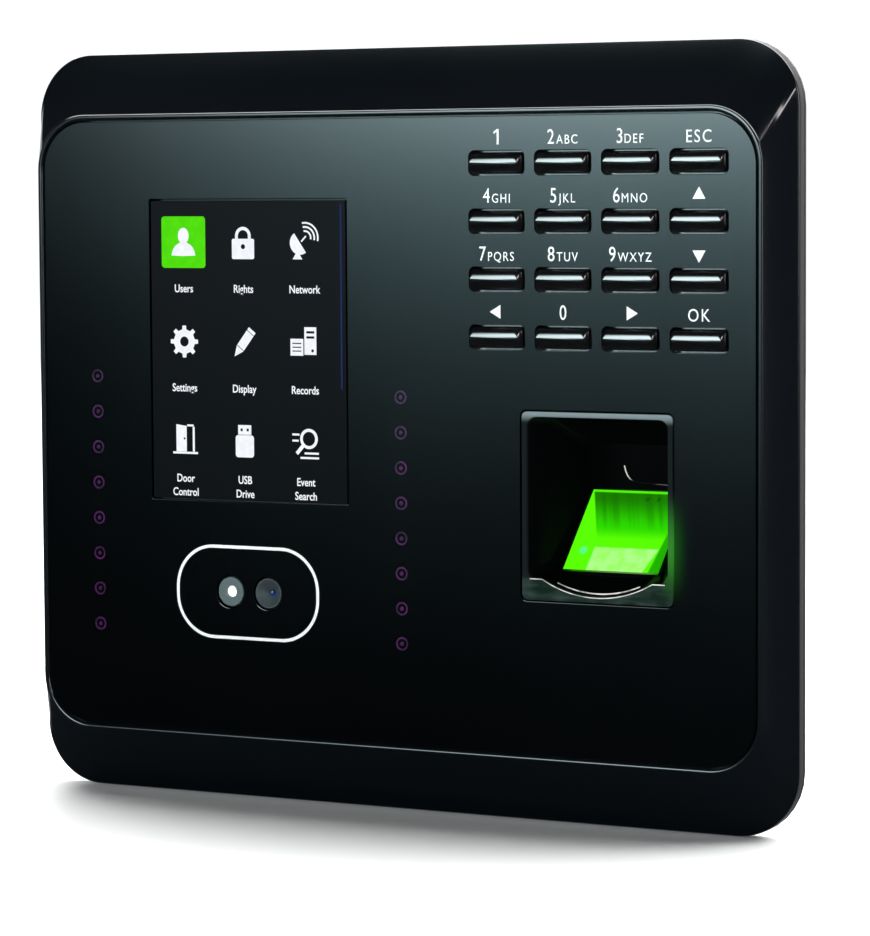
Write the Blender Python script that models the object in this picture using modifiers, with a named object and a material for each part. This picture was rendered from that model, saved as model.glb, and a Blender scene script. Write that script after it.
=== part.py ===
"""Wall-mounted face and fingerprint terminal, built as an assembly of separate pieces.

Metres, +Z up. Y = 0 is the wall, the front faces -Y and +X is to the right seen from the front.
X = 0 and Z = 0 are the middle of the body's rim.
"""
import math

import bmesh
import bpy
from mathutils import Matrix, Vector

MM = 0.001

# ---- Driving dimensions -----------------------------------------------------------------------
BODY_WIDTH = 167.5 * MM          # over the rim
BODY_HEIGHT = 148.8 * MM
BODY_DEPTH = 32.2 * MM           # wall to the key crests
GAP = 0.3 * MM                   # between pieces that touch

# Front cover: rim, sloped skirt and the raised bead round the face panel
RIM_CORNER = 12.5 * MM
RIM_FRONT_WALL = 2.2 * MM        # rim side wall that belongs to the front cover
RIM_BACK_WALL = 1.4 * MM         # and to the rear cover
RIM_EDGE = 0.4 * MM
SKIRT_DEPTH = 7.4 * MM
SKIRT_INSET_X = 4.15 * MM
SKIRT_INSET_Z = 12.25 * MM
BEAD_CORNER = 11.0 * MM
BEAD_WIDTH = 1.15 * MM
BEAD_ROUND = 0.3 * MM
BEAD_PROUD = 0.4 * MM            # bead crest in front of the face panel
COVER_WALL = 1.6 * MM

# Face panel and display
PANEL_THICK = 2.0 * MM
DISPLAY_WIDTH = 44.6 * MM
DISPLAY_HEIGHT = 59.2 * MM
DISPLAY_FROM_LEFT = 53.15 * MM   # window centre from the rim's left side
DISPLAY_FROM_TOP = 59.1 * MM
DISPLAY_SINK = 0.1 * MM
DISPLAY_LEDGE = 0.6 * MM         # width of the seat under the window's edge
LCD_MARGIN_X = 2.8 * MM          # module beyond the window, each side
LCD_MARGIN_Z = 5.0 * MM
LCD_THICK = 2.3 * MM
LCD_FRAME_WALL = 1.2 * MM
LCD_FLEX_DROP = 5.0 * MM
LCD_FLEX_TAIL = 2.0 * MM

# Keypad
KEY_WIDTH = 11.8 * MM            # slot in the face panel
KEY_HEIGHT = 4.7 * MM
KEY_CORNER = 1.2 * MM
KEY_PITCH_X = 14.0 * MM
KEY_PITCH_Z = 11.0 * MM
KEY_FROM_RIGHT = 17.05 * MM      # last column's centre from the rim's right side
KEY_FROM_TOP = 22.6 * MM         # first row's centre from the rim's top
KEY_PROUD = 1.6 * MM
KEY_TAPER = 0.6 * MM             # each end of the crest is this much shorter than the foot
KEY_FLANGE = 0.5 * MM
KEY_FLANGE_THICK = 0.8 * MM
KEY_TRAVEL = 1.0 * MM
KEY_MAT_THICK = 0.8 * MM
KEY_PAD_THICK = 0.5 * MM
KEY_PAD_WIDTH = 7.0 * MM
KEY_PAD_HEIGHT = 2.6 * MM
KEYPAD_MARGIN = 1.6 * MM         # keypad opening beyond the outer slots
KEY_BOARD_MARGIN = 3.0 * MM
KEY_MAT_MARGIN = KEY_BOARD_MARGIN / 2
KEY_LINK_INSET = 1.5 * MM        # connector from the contact board's left edge
KEY_LINK_WIDTH = 4.5 * MM
KEY_LINK_BELOW = 12.0 * MM
KEY_LINK_ABOVE = 8.0 * MM
BOARD_THICK = 1.6 * MM

# Infrared emitters: two columns of eight behind the face panel
LED_COUNT = 8
LED_RADIUS = 1.3 * MM
LED_LENGTH = 2.6 * MM
LED_LEFT_FROM_LEFT = 17.85 * MM
LED_LEFT_FROM_BOTTOM = 84.2 * MM  # top emitter of the column
LED_LEFT_PITCH = 7.16 * MM
LED_RIGHT_FROM_LEFT = 87.45 * MM
LED_RIGHT_FROM_BOTTOM = 81.35 * MM
LED_RIGHT_PITCH = 6.83 * MM
LED_BOARD_WIDTH = 6.0 * MM
LED_BOARD_THICK = 1.2 * MM
LED_SLOT_MARGIN = 0.7 * MM

# Cameras
CAMERA_FROM_LEFT = 52.85 * MM    # middle of the pair
CAMERA_FROM_BOTTOM = 41.9 * MM
CAMERA_SPACING = 8.6 * MM
CAMERA_BARREL_RADIUS = 3.0 * MM
CAMERA_CONE_RADIUS = 2.55 * MM
CAMERA_BORE_RADIUS = 1.3 * MM
CAMERA_CONE_DEPTH = 1.8 * MM
CAMERA_SINK = 0.4 * MM
CAMERA_BOARD_WIDTH = 26.0 * MM
CAMERA_BOARD_HEIGHT = 14.0 * MM
CAMERA_BOARD_DEPTH = 5.6 * MM     # behind the panel's face
LENS_RADIUS = 1.0 * MM
LENS_RISE = 0.5 * MM
LENS_BODY = 1.4 * MM

# Fingerprint recess and sensor
FINGER_WIDTH = 31.4 * MM         # guide's outline in the face panel
FINGER_HEIGHT = 35.8 * MM
FINGER_CORNER = 1.0 * MM
FINGER_FROM_RIGHT = 38.2 * MM
FINGER_FROM_BOTTOM = 61.35 * MM
FINGER_RIM = 0.95 * MM           # guide's visible edge at the sides and top
FINGER_LIP = 4.0 * MM            # at the bottom
FINGER_MOUTH_CORNER = 1.8 * MM
FINGER_FLANGE = 2.0 * MM
FINGER_FLANGE_THICK = 1.2 * MM
SCOOP_HALF_WIDTH = 11.5 * MM
SCOOP_DEPTH = 3.1 * MM
PLATEN_WIDTH = 19.6 * MM
PLATEN_FRONT = 6.0 * MM          # lower edge, behind the bead crest
PLATEN_BACK = 19.5 * MM          # upper edge
PLATEN_RISE = 14.2 * MM
PLATEN_ABOVE_FOOT = 5.55 * MM    # lower edge above the guide's bottom
THROAT_MARGIN = 0.9 * MM         # recess beyond the platen, each side, at the back
THROAT_HEIGHT = 9.0 * MM         # at the back
RECESS_MID_INSET = 2.1 * MM      # side wall's step in at the platen's lower edge
GUIDE_BACK_WALL = 1.6 * MM
SENSOR_HOUSING_DEPTH = 3.4 * MM
SENSOR_HOUSING_MARGIN = 2.2 * MM
SENSOR_HOUSING_WALL = 1.2 * MM
SENSOR_BOARD_THICK = 1.2 * MM
SENSOR_BOARD_MARGIN = 0.8 * MM   # beyond the housing

# Rear cover
HOUSING_INSET_X = 13.75 * MM     # housing step in from the rim
HOUSING_INSET_Z = 11.4 * MM
HOUSING_CORNER = 10.0 * MM
HOUSING_EDGE = 1.0 * MM
REAR_WALL = 2.0 * MM
SIDE_WALL = 2.0 * MM
SCREW_FROM_SIDE = 11.75 * MM     # case screws from the rim's sides
SCREW_FROM_END = 8.4 * MM        # and from its top and bottom
SCREW_RADIUS = 1.3 * MM
SCREW_LENGTH = 5.0 * MM
SCREW_HEAD_RADIUS = 2.5 * MM
SCREW_HEAD_HEIGHT = 1.6 * MM
BOSS_RADIUS = 3.0 * MM
BOSS_LENGTH = 3.6 * MM
PILOT_END_GAP = 0.5 * MM

# Cable bay in the back of the rear cover, with the connectors in its ceiling
BAY_LEFT = 25.75 * MM            # from the rim's left side
BAY_WIDTH = 66.0 * MM
BAY_TOP = 28.4 * MM              # ceiling from the rim's bottom
BAY_DEPTH = 18.0 * MM            # the network socket needs at least 16.4 mm
BAY_FLOOR_WALL = 1.2 * MM
ETHERNET_WIDTH = 16.0 * MM
ETHERNET_HEIGHT = 13.5 * MM
ETHERNET_LENGTH = 21.0 * MM
ETHERNET_MOUTH_WIDTH = 11.9 * MM
ETHERNET_MOUTH_HEIGHT = 8.2 * MM
ETHERNET_MOUTH_DEPTH = 13.0 * MM
ETHERNET_FROM_BAY = 4.0 * MM
TERMINAL_WAYS = 8
TERMINAL_PITCH = 3.5 * MM
TERMINAL_HEIGHT = 9.0 * MM
TERMINAL_LENGTH = 9.0 * MM
TERMINAL_HOLE = 2.6 * MM
TERMINAL_HOLE_DEPTH = 6.0 * MM
TERMINAL_FROM_BAY = 24.0 * MM
POWER_WIDTH = 9.0 * MM
POWER_HEIGHT = 11.0 * MM
POWER_LENGTH = 14.0 * MM
POWER_BORE_RADIUS = 3.1 * MM
POWER_PIN_RADIUS = 1.0 * MM
POWER_DEPTH = 9.0 * MM
POWER_PIN_ROOT = 1.0 * MM
POWER_FROM_BAY = 54.5 * MM
PORT_PROUD = 0.4 * MM            # connector faces proud of the bay's ceiling

# USB socket in the bottom wall
USB_WIDTH = 13.2 * MM
USB_HEIGHT = 5.8 * MM
USB_LENGTH = 14.0 * MM
USB_SHELL = 0.4 * MM
USB_DEPTH = 11.0 * MM
USB_TONGUE_THICK = 1.9 * MM
USB_TONGUE_WIDTH = 10.6 * MM
USB_TONGUE_GAP = 0.8 * MM
USB_TONGUE_STEP = 1.0 * MM       # tongue behind the mouth, and into the back
USB_FROM_RIGHT = 37.75 * MM

# Boards and what they carry
MAIN_BOARD_LEFT = 21.75 * MM     # edges from the rim
MAIN_BOARD_PAST_LINK = 1.8 * MM  # right edge beyond the keypad's connector
MAIN_BOARD_TOP = 28.4 * MM
MAIN_BOARD_BOTTOM = 33.0 * MM
BOARD_HOLE_RADIUS = 1.7 * MM
BOARD_HOLE_INSET = 3.5 * MM
BOARD_FROM_BAY = 2.0 * MM        # the board's foot round the USB socket
BOARD_PAST_USB = 3.4 * MM
BOARD_BELOW_GUIDE = 1.5 * MM
BOARD_ABOVE_FLOOR = 1.0 * MM
SHIELD_SIZE = 18.0 * MM
SHIELD_THICK = 1.6 * MM
SHIELD_FROM_LEFT = 77.75 * MM
SHIELD_ABOVE_EDGE = 1.4 * MM
RELAY_SIZE = (15.0 * MM, 11.0 * MM, 10.0 * MM)
RELAY_FROM_LEFT = 63.75 * MM
RELAY_FROM_BOTTOM = 52.4 * MM
BATTERY_RADIUS = 10.0 * MM
BATTERY_THICK = 3.2 * MM
BATTERY_EDGE = 0.3 * MM
BATTERY_FROM_LEFT = 37.75 * MM
BATTERY_FROM_BOTTOM = 70.4 * MM
HOLDER_WALL = 1.2 * MM
HOLDER_BASE = 1.0 * MM
HOLDER_GRIP = 0.7                # share of the cell's thickness that the cup holds
SPEAKER_RADIUS = 14.0 * MM
SPEAKER_DEPTH = 5.5 * MM
SPEAKER_FROM_TOP = 52.4 * MM
SPEAKER_FLANGE = 1.5 * MM
SPEAKER_ROLL = 0.5 * MM
GRILLE_SLOTS = 5
GRILLE_SLOT = (18.0 * MM, 1.8 * MM)
GRILLE_PITCH = 3.6 * MM
TAMPER_SIZE = 6.0 * MM
TAMPER_HEIGHT = 9.0 * MM
TAMPER_RADIUS = 1.3 * MM
TAMPER_CAP_RADIUS = 2.2 * MM
TAMPER_TRAVEL = 1.0 * MM
TAMPER_BORE_DEPTH = 3.8 * MM
TAMPER_COLLAR_GAP = 2.0 * MM
TAMPER_COLLAR_THICK = 1.0 * MM
TAMPER_FROM_LEFT = 49.75 * MM
TAMPER_FROM_TOP = 38.4 * MM
RESET_SIZE = 6.0 * MM
RESET_HEIGHT = 4.0 * MM
RESET_RADIUS = 1.6 * MM
RESET_LENGTH = 5.0 * MM
RESET_TRAVEL = 0.5 * MM
RESET_HOLE_RADIUS = 1.5 * MM
RESET_BORE_DEPTH = 2.0 * MM
RESET_FROM_LEFT = 43.75 * MM
RESET_FROM_TOP = 54.4 * MM
FLEX_THICK = 0.3 * MM
FLEX_WIDTH = 22.0 * MM

# Wall plate, its hooks and the lock screw
PLATE_THICK = 1.5 * MM
PLATE_INSET_X = 15.75 * MM       # from the rim
PLATE_INSET_TOP = 24.4 * MM
PLATE_CORNER = 6.0 * MM
PLATE_ABOVE_FOOT = 1.0 * MM      # lower edge above the housing's bottom
PLATE_BAR = 4.0 * MM             # left round the cable window
PLATE_WINDOW = (56.0 * MM, 32.0 * MM)
PLATE_WINDOW_CORNER = 5.0 * MM
CABLE_WINDOW_HEIGHT = 28.0 * MM
WALL_HOLE_RADIUS = 2.3 * MM
WALL_HOLE_SPACING_X = 84.0 * MM
WALL_HOLE_FROM_TOP = 34.4 * MM
WALL_HOLE_FROM_BOTTOM = 54.4 * MM
HOOK_FROM_SIDE = 21.75 * MM
HOOK_TOP = 44.4 * MM             # upper hooks' foot from the rim's top
HOOK_BOTTOM = 54.4 * MM          # lower hooks' foot from the rim's bottom
HOOK_WIDTH = 6.0 * MM
HOOK_STUB = 3.0 * MM
HOOK_LIP = 3.5 * MM
HOOK_THICK = 1.5 * MM
LIFT_TRAVEL = 6.0 * MM
LOCK_TAB_WIDTH = 12.0 * MM
LOCK_TAB_DEPTH = 11.0 * MM
LOCK_FROM_RIGHT = 61.75 * MM
LOCK_SCREW_FROM_WALL = 6.5 * MM
LOCK_SCREW_LENGTH = 7.0 * MM
LOCK_BOSS_RADIUS = 3.4 * MM
LOCK_BOSS_END = 1.0 * MM         # beyond the screw

CORNER_STEPS = 8
ROUND_STEPS = 20

# ---- Levels from the wall to the front --------------------------------------------------------
PANEL_FRONT = -BODY_DEPTH + KEY_PROUD
PANEL_BACK = PANEL_FRONT + PANEL_THICK
BEAD_CREST = PANEL_FRONT - BEAD_PROUD
SEAT = PANEL_BACK + GAP
FACE_INNER = SEAT + COVER_WALL
RIM_FRONT = BEAD_CREST + SKIRT_DEPTH
SEAM = RIM_FRONT + RIM_FRONT_WALL
FRONT_EDGE = SEAM - GAP / 2
REAR_EDGE = SEAM + GAP / 2
RIM_BACK = SEAM + RIM_BACK_WALL
HOUSING_BACK = -(PLATE_THICK + GAP)
HOUSING_INNER = HOUSING_BACK - REAR_WALL
BAY_FLOOR = HOUSING_BACK - BAY_DEPTH
MAIN_BOARD_BACK = BAY_FLOOR + GAP
MAIN_BOARD_FRONT = MAIN_BOARD_BACK - BOARD_THICK
INNER_PARTS = FACE_INNER + GAP    # first level behind the front cover's face wall

HOUSING_HALF_X = BODY_WIDTH / 2 - HOUSING_INSET_X
HOUSING_HALF_Z = BODY_HEIGHT / 2 - HOUSING_INSET_Z


def from_left(distance):
    return -BODY_WIDTH / 2 + distance


def from_right(distance):
    return BODY_WIDTH / 2 - distance


def from_top(distance):
    return BODY_HEIGHT / 2 - distance


def from_bottom(distance):
    return -BODY_HEIGHT / 2 + distance


# ---- Scene and finishes -----------------------------------------------------------------------
for old in list(bpy.data.objects):
    bpy.data.objects.remove(old, do_unlink=True)

scene = bpy.context.scene
PARTS = bpy.data.collections.new("fingerprint_terminal")
CUTTERS = bpy.data.collections.new("cutters")
scene.collection.children.link(PARTS)
scene.collection.children.link(CUTTERS)

# name: colour, roughness, metallic
FINISHES = {
    "gloss_black": ((0.012, 0.014, 0.016), 0.22, 0.0),
    "panel_black": ((0.010, 0.013, 0.014), 0.12, 0.0),
    "matte_black": ((0.020, 0.021, 0.022), 0.55, 0.0),
    "key_black": ((0.008, 0.009, 0.010), 0.18, 0.0),
    "guide_black": ((0.010, 0.011, 0.011), 0.28, 0.0),
    "display_glass": ((0.004, 0.005, 0.007), 0.06, 0.0),
    "lcd_grey": ((0.30, 0.31, 0.33), 0.45, 0.2),
    "steel": ((0.55, 0.56, 0.57), 0.35, 1.0),
    "zinc": ((0.62, 0.63, 0.62), 0.40, 1.0),
    "board_green": ((0.02, 0.16, 0.07), 0.45, 0.0),
    "emitter": ((0.22, 0.03, 0.20), 0.25, 0.0),
    "lens_glass": ((0.03, 0.05, 0.10), 0.05, 0.0),
    "platen_green": ((0.12, 0.90, 0.08), 0.10, 0.0),
    "silicone": ((0.25, 0.26, 0.27), 0.70, 0.0),
    "flex_amber": ((0.45, 0.22, 0.03), 0.40, 0.0),
    "connector_black": ((0.02, 0.02, 0.02), 0.50, 0.0),
    "terminal_green": ((0.05, 0.35, 0.12), 0.50, 0.0),
    "relay_blue": ((0.03, 0.12, 0.45), 0.45, 0.0),
    "speaker_paper": ((0.03, 0.03, 0.03), 0.80, 0.0),
}


def finish_material(node_name, finish):
    """One Principled material for each sub-part."""
    colour, roughness, metallic = FINISHES[finish]
    material = bpy.data.materials.new(node_name + "_" + finish)
    material.use_nodes = True
    shader = material.node_tree.nodes["Principled BSDF"]
    shader.inputs["Base Color"].default_value = (*colour, 1.0)
    shader.inputs["Roughness"].default_value = roughness
    shader.inputs["Metallic"].default_value = metallic
    return material


def body_empty(name, location=(0.0, 0.0, 0.0)):
    """The empty that a rigid body's pieces hang on."""
    empty = bpy.data.objects.new(name, None)
    empty.location = location
    empty.empty_display_size = 0.01
    PARTS.objects.link(empty)
    return empty


WALL_SIDE = body_empty("wall_side")
TERMINAL_SIDE = body_empty("terminal_side")


def place(name, mesh, location, finish, parent=TERMINAL_SIDE, rotation=(0.0, 0.0, 0.0)):
    """Link a mesh as a named sub-part, or as a cutter where finish is None."""
    piece = bpy.data.objects.new(name, mesh)
    piece.location = location
    piece.rotation_euler = rotation
    mesh.shade_smooth()
    mesh.set_sharp_from_angle(angle=math.radians(35))
    if finish is None:
        CUTTERS.objects.link(piece)
        piece.hide_render = True
        piece.display_type = "WIRE"
    else:
        PARTS.objects.link(piece)
        mesh.materials.append(finish_material(name, finish))
        piece.parent = parent
    return piece


def mesh_of(bm, name):
    mesh = bpy.data.meshes.new(name)
    bmesh.ops.recalc_face_normals(bm, faces=bm.faces)
    bm.to_mesh(mesh)
    bm.free()
    return mesh


# ---- Shape helpers ----------------------------------------------------------------------------
def box(name, low, high, finish, parent=TERMINAL_SIDE):
    """A plain block between two corners, its origin in the middle."""
    size = Vector(high) - Vector(low)
    bm = bmesh.new()
    bmesh.ops.create_cube(bm, size=1.0, matrix=Matrix.Diagonal((*size, 1.0)))
    middle = (Vector(high) + Vector(low)) / 2
    return place(name, mesh_of(bm, name), middle, finish, parent)


AXIS_TURN = {
    "Y": Matrix.Rotation(math.radians(90), 4, "X"),
    "Z": Matrix.Identity(4),
}


def rods(name, centres, radius, start, end, finish, axis="Y", steps=ROUND_STEPS):
    """One or more equal round bars along Y at (x, z), or along Z at (x, y), in one mesh."""
    bm = bmesh.new()
    middle = (start + end) / 2
    for across, along in centres:
        place_at = (across, middle, along) if axis == "Y" else (across, along, middle)
        matrix = Matrix.Translation(place_at) @ AXIS_TURN[axis]
        bmesh.ops.create_cone(
            bm, cap_ends=True, segments=steps, radius1=radius, radius2=radius,
            depth=abs(end - start), matrix=matrix)
    return place(name, mesh_of(bm, name), (0.0, 0.0, 0.0), finish)


def rounded_outline(half_x, half_z, radius, centre=(0.0, 0.0), steps=CORNER_STEPS):
    """Points round a rectangle with round corners, anticlockwise from the lower right."""
    points = []
    for quarter, (side_x, side_z) in enumerate(((1, -1), (1, 1), (-1, 1), (-1, -1))):
        for step in range(steps + 1):
            angle = math.radians(-90 + 90 * quarter + 90 * step / steps)
            points.append((
                centre[0] + side_x * (half_x - radius) + radius * math.cos(angle),
                centre[1] + side_z * (half_z - radius) + radius * math.sin(angle)))
    return points


def round_outline(centre, radius, steps=ROUND_STEPS):
    """Points round a circle."""
    turns = [2 * math.pi * step / steps for step in range(steps)]
    return [(centre[0] + radius * math.cos(a), centre[1] + radius * math.sin(a)) for a in turns]


# Each plane's turn for a curve drawn in its own XY and extruded along its own Z
PLANE_TURN = {
    "XZ": (math.radians(90), 0.0, 0.0),
    "YZ": (math.radians(90), 0.0, math.radians(90)),
}


def plate(name, outlines, start, end, finish, parent=TERMINAL_SIDE, plane="XZ"):
    """A flat piece from its outline and the outlines of its holes, extruded from start to end."""
    curve = bpy.data.curves.new(name, "CURVE")
    curve.dimensions = "2D"
    curve.fill_mode = "BOTH"
    curve.extrude = abs(end - start) / 2
    for outline in outlines:
        spline = curve.splines.new("POLY")
        spline.points.add(len(outline) - 1)
        for point, (u, v) in zip(spline.points, outline):
            point.co = (u, v, 0.0, 1.0)
        spline.use_cyclic_u = True
    drawn = bpy.data.objects.new(name + "_drawn", curve)
    scene.collection.objects.link(drawn)
    middle = (start + end) / 2
    drawn.location = (0.0, middle, 0.0) if plane == "XZ" else (middle, 0.0, 0.0)
    drawn.rotation_euler = PLANE_TURN[plane]
    bpy.context.view_layer.update()
    evaluated = drawn.evaluated_get(bpy.context.evaluated_depsgraph_get())
    mesh = bpy.data.meshes.new_from_object(evaluated)
    bm = bmesh.new()
    bm.from_mesh(mesh)
    bmesh.ops.remove_doubles(bm, verts=bm.verts, dist=1e-6)
    bmesh.ops.recalc_face_normals(bm, faces=bm.faces)
    bm.to_mesh(mesh)
    bm.free()
    piece = place(name, mesh, (0.0, 0.0, 0.0), finish, parent)
    piece.matrix_world = drawn.matrix_world
    bpy.data.objects.remove(drawn, do_unlink=True)
    return piece


def loft(name, rings, finish, parent=TERMINAL_SIDE, location=(0.0, 0.0, 0.0)):
    """A solid skinned over rings of equal point count, closed by its first and last ring."""
    bm = bmesh.new()
    levels = [[bm.verts.new(point) for point in ring] for ring in rings]
    count = len(levels[0])
    for lower, upper in zip(levels, levels[1:]):
        for i in range(count):
            j = (i + 1) % count
            bm.faces.new((lower[i], lower[j], upper[j], upper[i]))
    bm.faces.new(levels[0])
    bm.faces.new(levels[-1])
    return place(name, mesh_of(bm, name), location, finish, parent)


def ring(half_x, half_z, radius, y, centre=(0.0, 0.0), steps=CORNER_STEPS):
    """A rounded rectangle at one level, as 3-D points."""
    return [(x, y, z) for x, z in rounded_outline(half_x, half_z, radius, centre, steps)]


def turned(name, profile, location, finish, rotation=(0.0, 0.0, 0.0), parent=TERMINAL_SIDE,
           steps=ROUND_STEPS):
    """A piece turned about its own Z from a profile of (radius, height), listed top to bottom."""
    mesh = bpy.data.meshes.new(name)
    points = [(radius, 0.0, height) for radius, height in profile]
    mesh.from_pydata(points, [(i, i + 1) for i in range(len(points) - 1)], [])
    piece = place(name, mesh, location, finish, parent, rotation)
    screw = piece.modifiers.new("turn", "SCREW")
    screw.steps = steps
    screw.render_steps = steps
    screw.use_merge_vertices = True
    screw.merge_threshold = 0.00001
    return piece


def cut(piece, *cutters):
    for cutter in cutters:
        boolean = piece.modifiers.new("cut_" + cutter.name, "BOOLEAN")
        boolean.operation = "DIFFERENCE"
        boolean.solver = "EXACT"
        boolean.object = cutter


def fuse(piece, *additions):
    for addition in additions:
        boolean = piece.modifiers.new("fuse_" + addition.name, "BOOLEAN")
        boolean.operation = "UNION"
        boolean.solver = "EXACT"
        boolean.object = addition


TOWARDS_FRONT = (math.radians(90), 0.0, 0.0)     # own +Z to world -Y
TOWARDS_WALL = (math.radians(-90), 0.0, 0.0)     # own +Z to world +Y
THROUGH = 2.0 * MM                               # a cutter's overrun past the face it cuts

# ---- Places shared by pieces that fit each other ----------------------------------------------
DISPLAY_X = from_left(DISPLAY_FROM_LEFT)
DISPLAY_Z = from_top(DISPLAY_FROM_TOP)
CAMERA_X = from_left(CAMERA_FROM_LEFT)
CAMERA_Z = from_bottom(CAMERA_FROM_BOTTOM)
CAMERA_CENTRES = [(CAMERA_X + side * CAMERA_SPACING / 2, CAMERA_Z) for side in (-1, 1)]
FINGER_X = from_right(FINGER_FROM_RIGHT)
FINGER_Z = from_bottom(FINGER_FROM_BOTTOM)
KEY_COLUMNS = [from_right(KEY_FROM_RIGHT) - KEY_PITCH_X * i for i in (3, 2, 1, 0)]
KEY_ROWS = [from_top(KEY_FROM_TOP) - KEY_PITCH_Z * i for i in range(4)]
KEYPAD_X = (KEY_COLUMNS[0] + KEY_COLUMNS[-1]) / 2
KEYPAD_Z = (KEY_ROWS[0] + KEY_ROWS[-1]) / 2
KEYPAD_HALF_X = 1.5 * KEY_PITCH_X + KEY_WIDTH / 2 + KEYPAD_MARGIN
KEYPAD_HALF_Z = 1.5 * KEY_PITCH_Z + KEY_HEIGHT / 2 + KEYPAD_MARGIN
LED_COLUMNS = {
    "left": (from_left(LED_LEFT_FROM_LEFT), from_bottom(LED_LEFT_FROM_BOTTOM), LED_LEFT_PITCH),
    "right": (from_left(LED_RIGHT_FROM_LEFT), from_bottom(LED_RIGHT_FROM_BOTTOM), LED_RIGHT_PITCH),
}
CASE_SCREWS = [
    (side_x * (BODY_WIDTH / 2 - SCREW_FROM_SIDE), side_z * (BODY_HEIGHT / 2 - SCREW_FROM_END))
    for side_z in (1, -1) for side_x in (-1, 1)]
HOOKS = [
    (side * (BODY_WIDTH / 2 - HOOK_FROM_SIDE), foot)
    for foot in (from_top(HOOK_TOP), from_bottom(HOOK_BOTTOM)) for side in (-1, 1)]
BAY_X0 = from_left(BAY_LEFT)
BAY_X1 = BAY_X0 + BAY_WIDTH
BAY_CEILING = from_bottom(BAY_TOP)
PORT_FACE = BAY_CEILING - PORT_PROUD
PORT_BACK = MAIN_BOARD_BACK + GAP                # the connectors' side that lies on the board
USB_X = from_right(USB_FROM_RIGHT)
HOUSING_BOTTOM = -HOUSING_HALF_Z
LOCK_X = from_right(LOCK_FROM_RIGHT)
SPEAKER_X = 0.0
SPEAKER_Z = from_top(SPEAKER_FROM_TOP)
TAMPER_X = from_left(TAMPER_FROM_LEFT)
TAMPER_Z = from_top(TAMPER_FROM_TOP)
RESET_X = from_left(RESET_FROM_LEFT)
RESET_Z = from_top(RESET_FROM_TOP)
BATTERY_X = from_left(BATTERY_FROM_LEFT)
BATTERY_Z = from_bottom(BATTERY_FROM_BOTTOM)
KEY_LINK_X = KEYPAD_X - KEYPAD_HALF_X - KEY_BOARD_MARGIN + KEY_LINK_INSET

GUIDE_BOTTOM = FINGER_Z - FINGER_HEIGHT / 2
GUIDE_TOP = FINGER_Z + FINGER_HEIGHT / 2
PLATEN_LOW = (BEAD_CREST + PLATEN_FRONT, GUIDE_BOTTOM + PLATEN_ABOVE_FOOT)
PLATEN_HIGH = (BEAD_CREST + PLATEN_BACK, PLATEN_LOW[1] + PLATEN_RISE)
GUIDE_BACK = PLATEN_HIGH[0] + GUIDE_BACK_WALL
KEY_BACK = SEAT + KEY_FLANGE_THICK
PAD_FRONT = KEY_BACK + KEY_TRAVEL + GAP
MAT_FRONT = PAD_FRONT + KEY_PAD_THICK
KEY_BOARD_FRONT = MAT_FRONT + KEY_MAT_THICK + GAP
KEY_BOARD_BACK = KEY_BOARD_FRONT + BOARD_THICK
LED_BASE = SEAT + LED_LENGTH
CAMERA_BOARD_FRONT = PANEL_FRONT + CAMERA_BOARD_DEPTH
LCD_FRONT = INNER_PARTS
LCD_BACK = LCD_FRONT + LCD_THICK
LCD_FRAME_BACK = LCD_BACK + GAP + LCD_FRAME_WALL
LCD_HALF_X = DISPLAY_WIDTH / 2 + LCD_MARGIN_X
LCD_HALF_Z = DISPLAY_HEIGHT / 2 + LCD_MARGIN_Z


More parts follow.
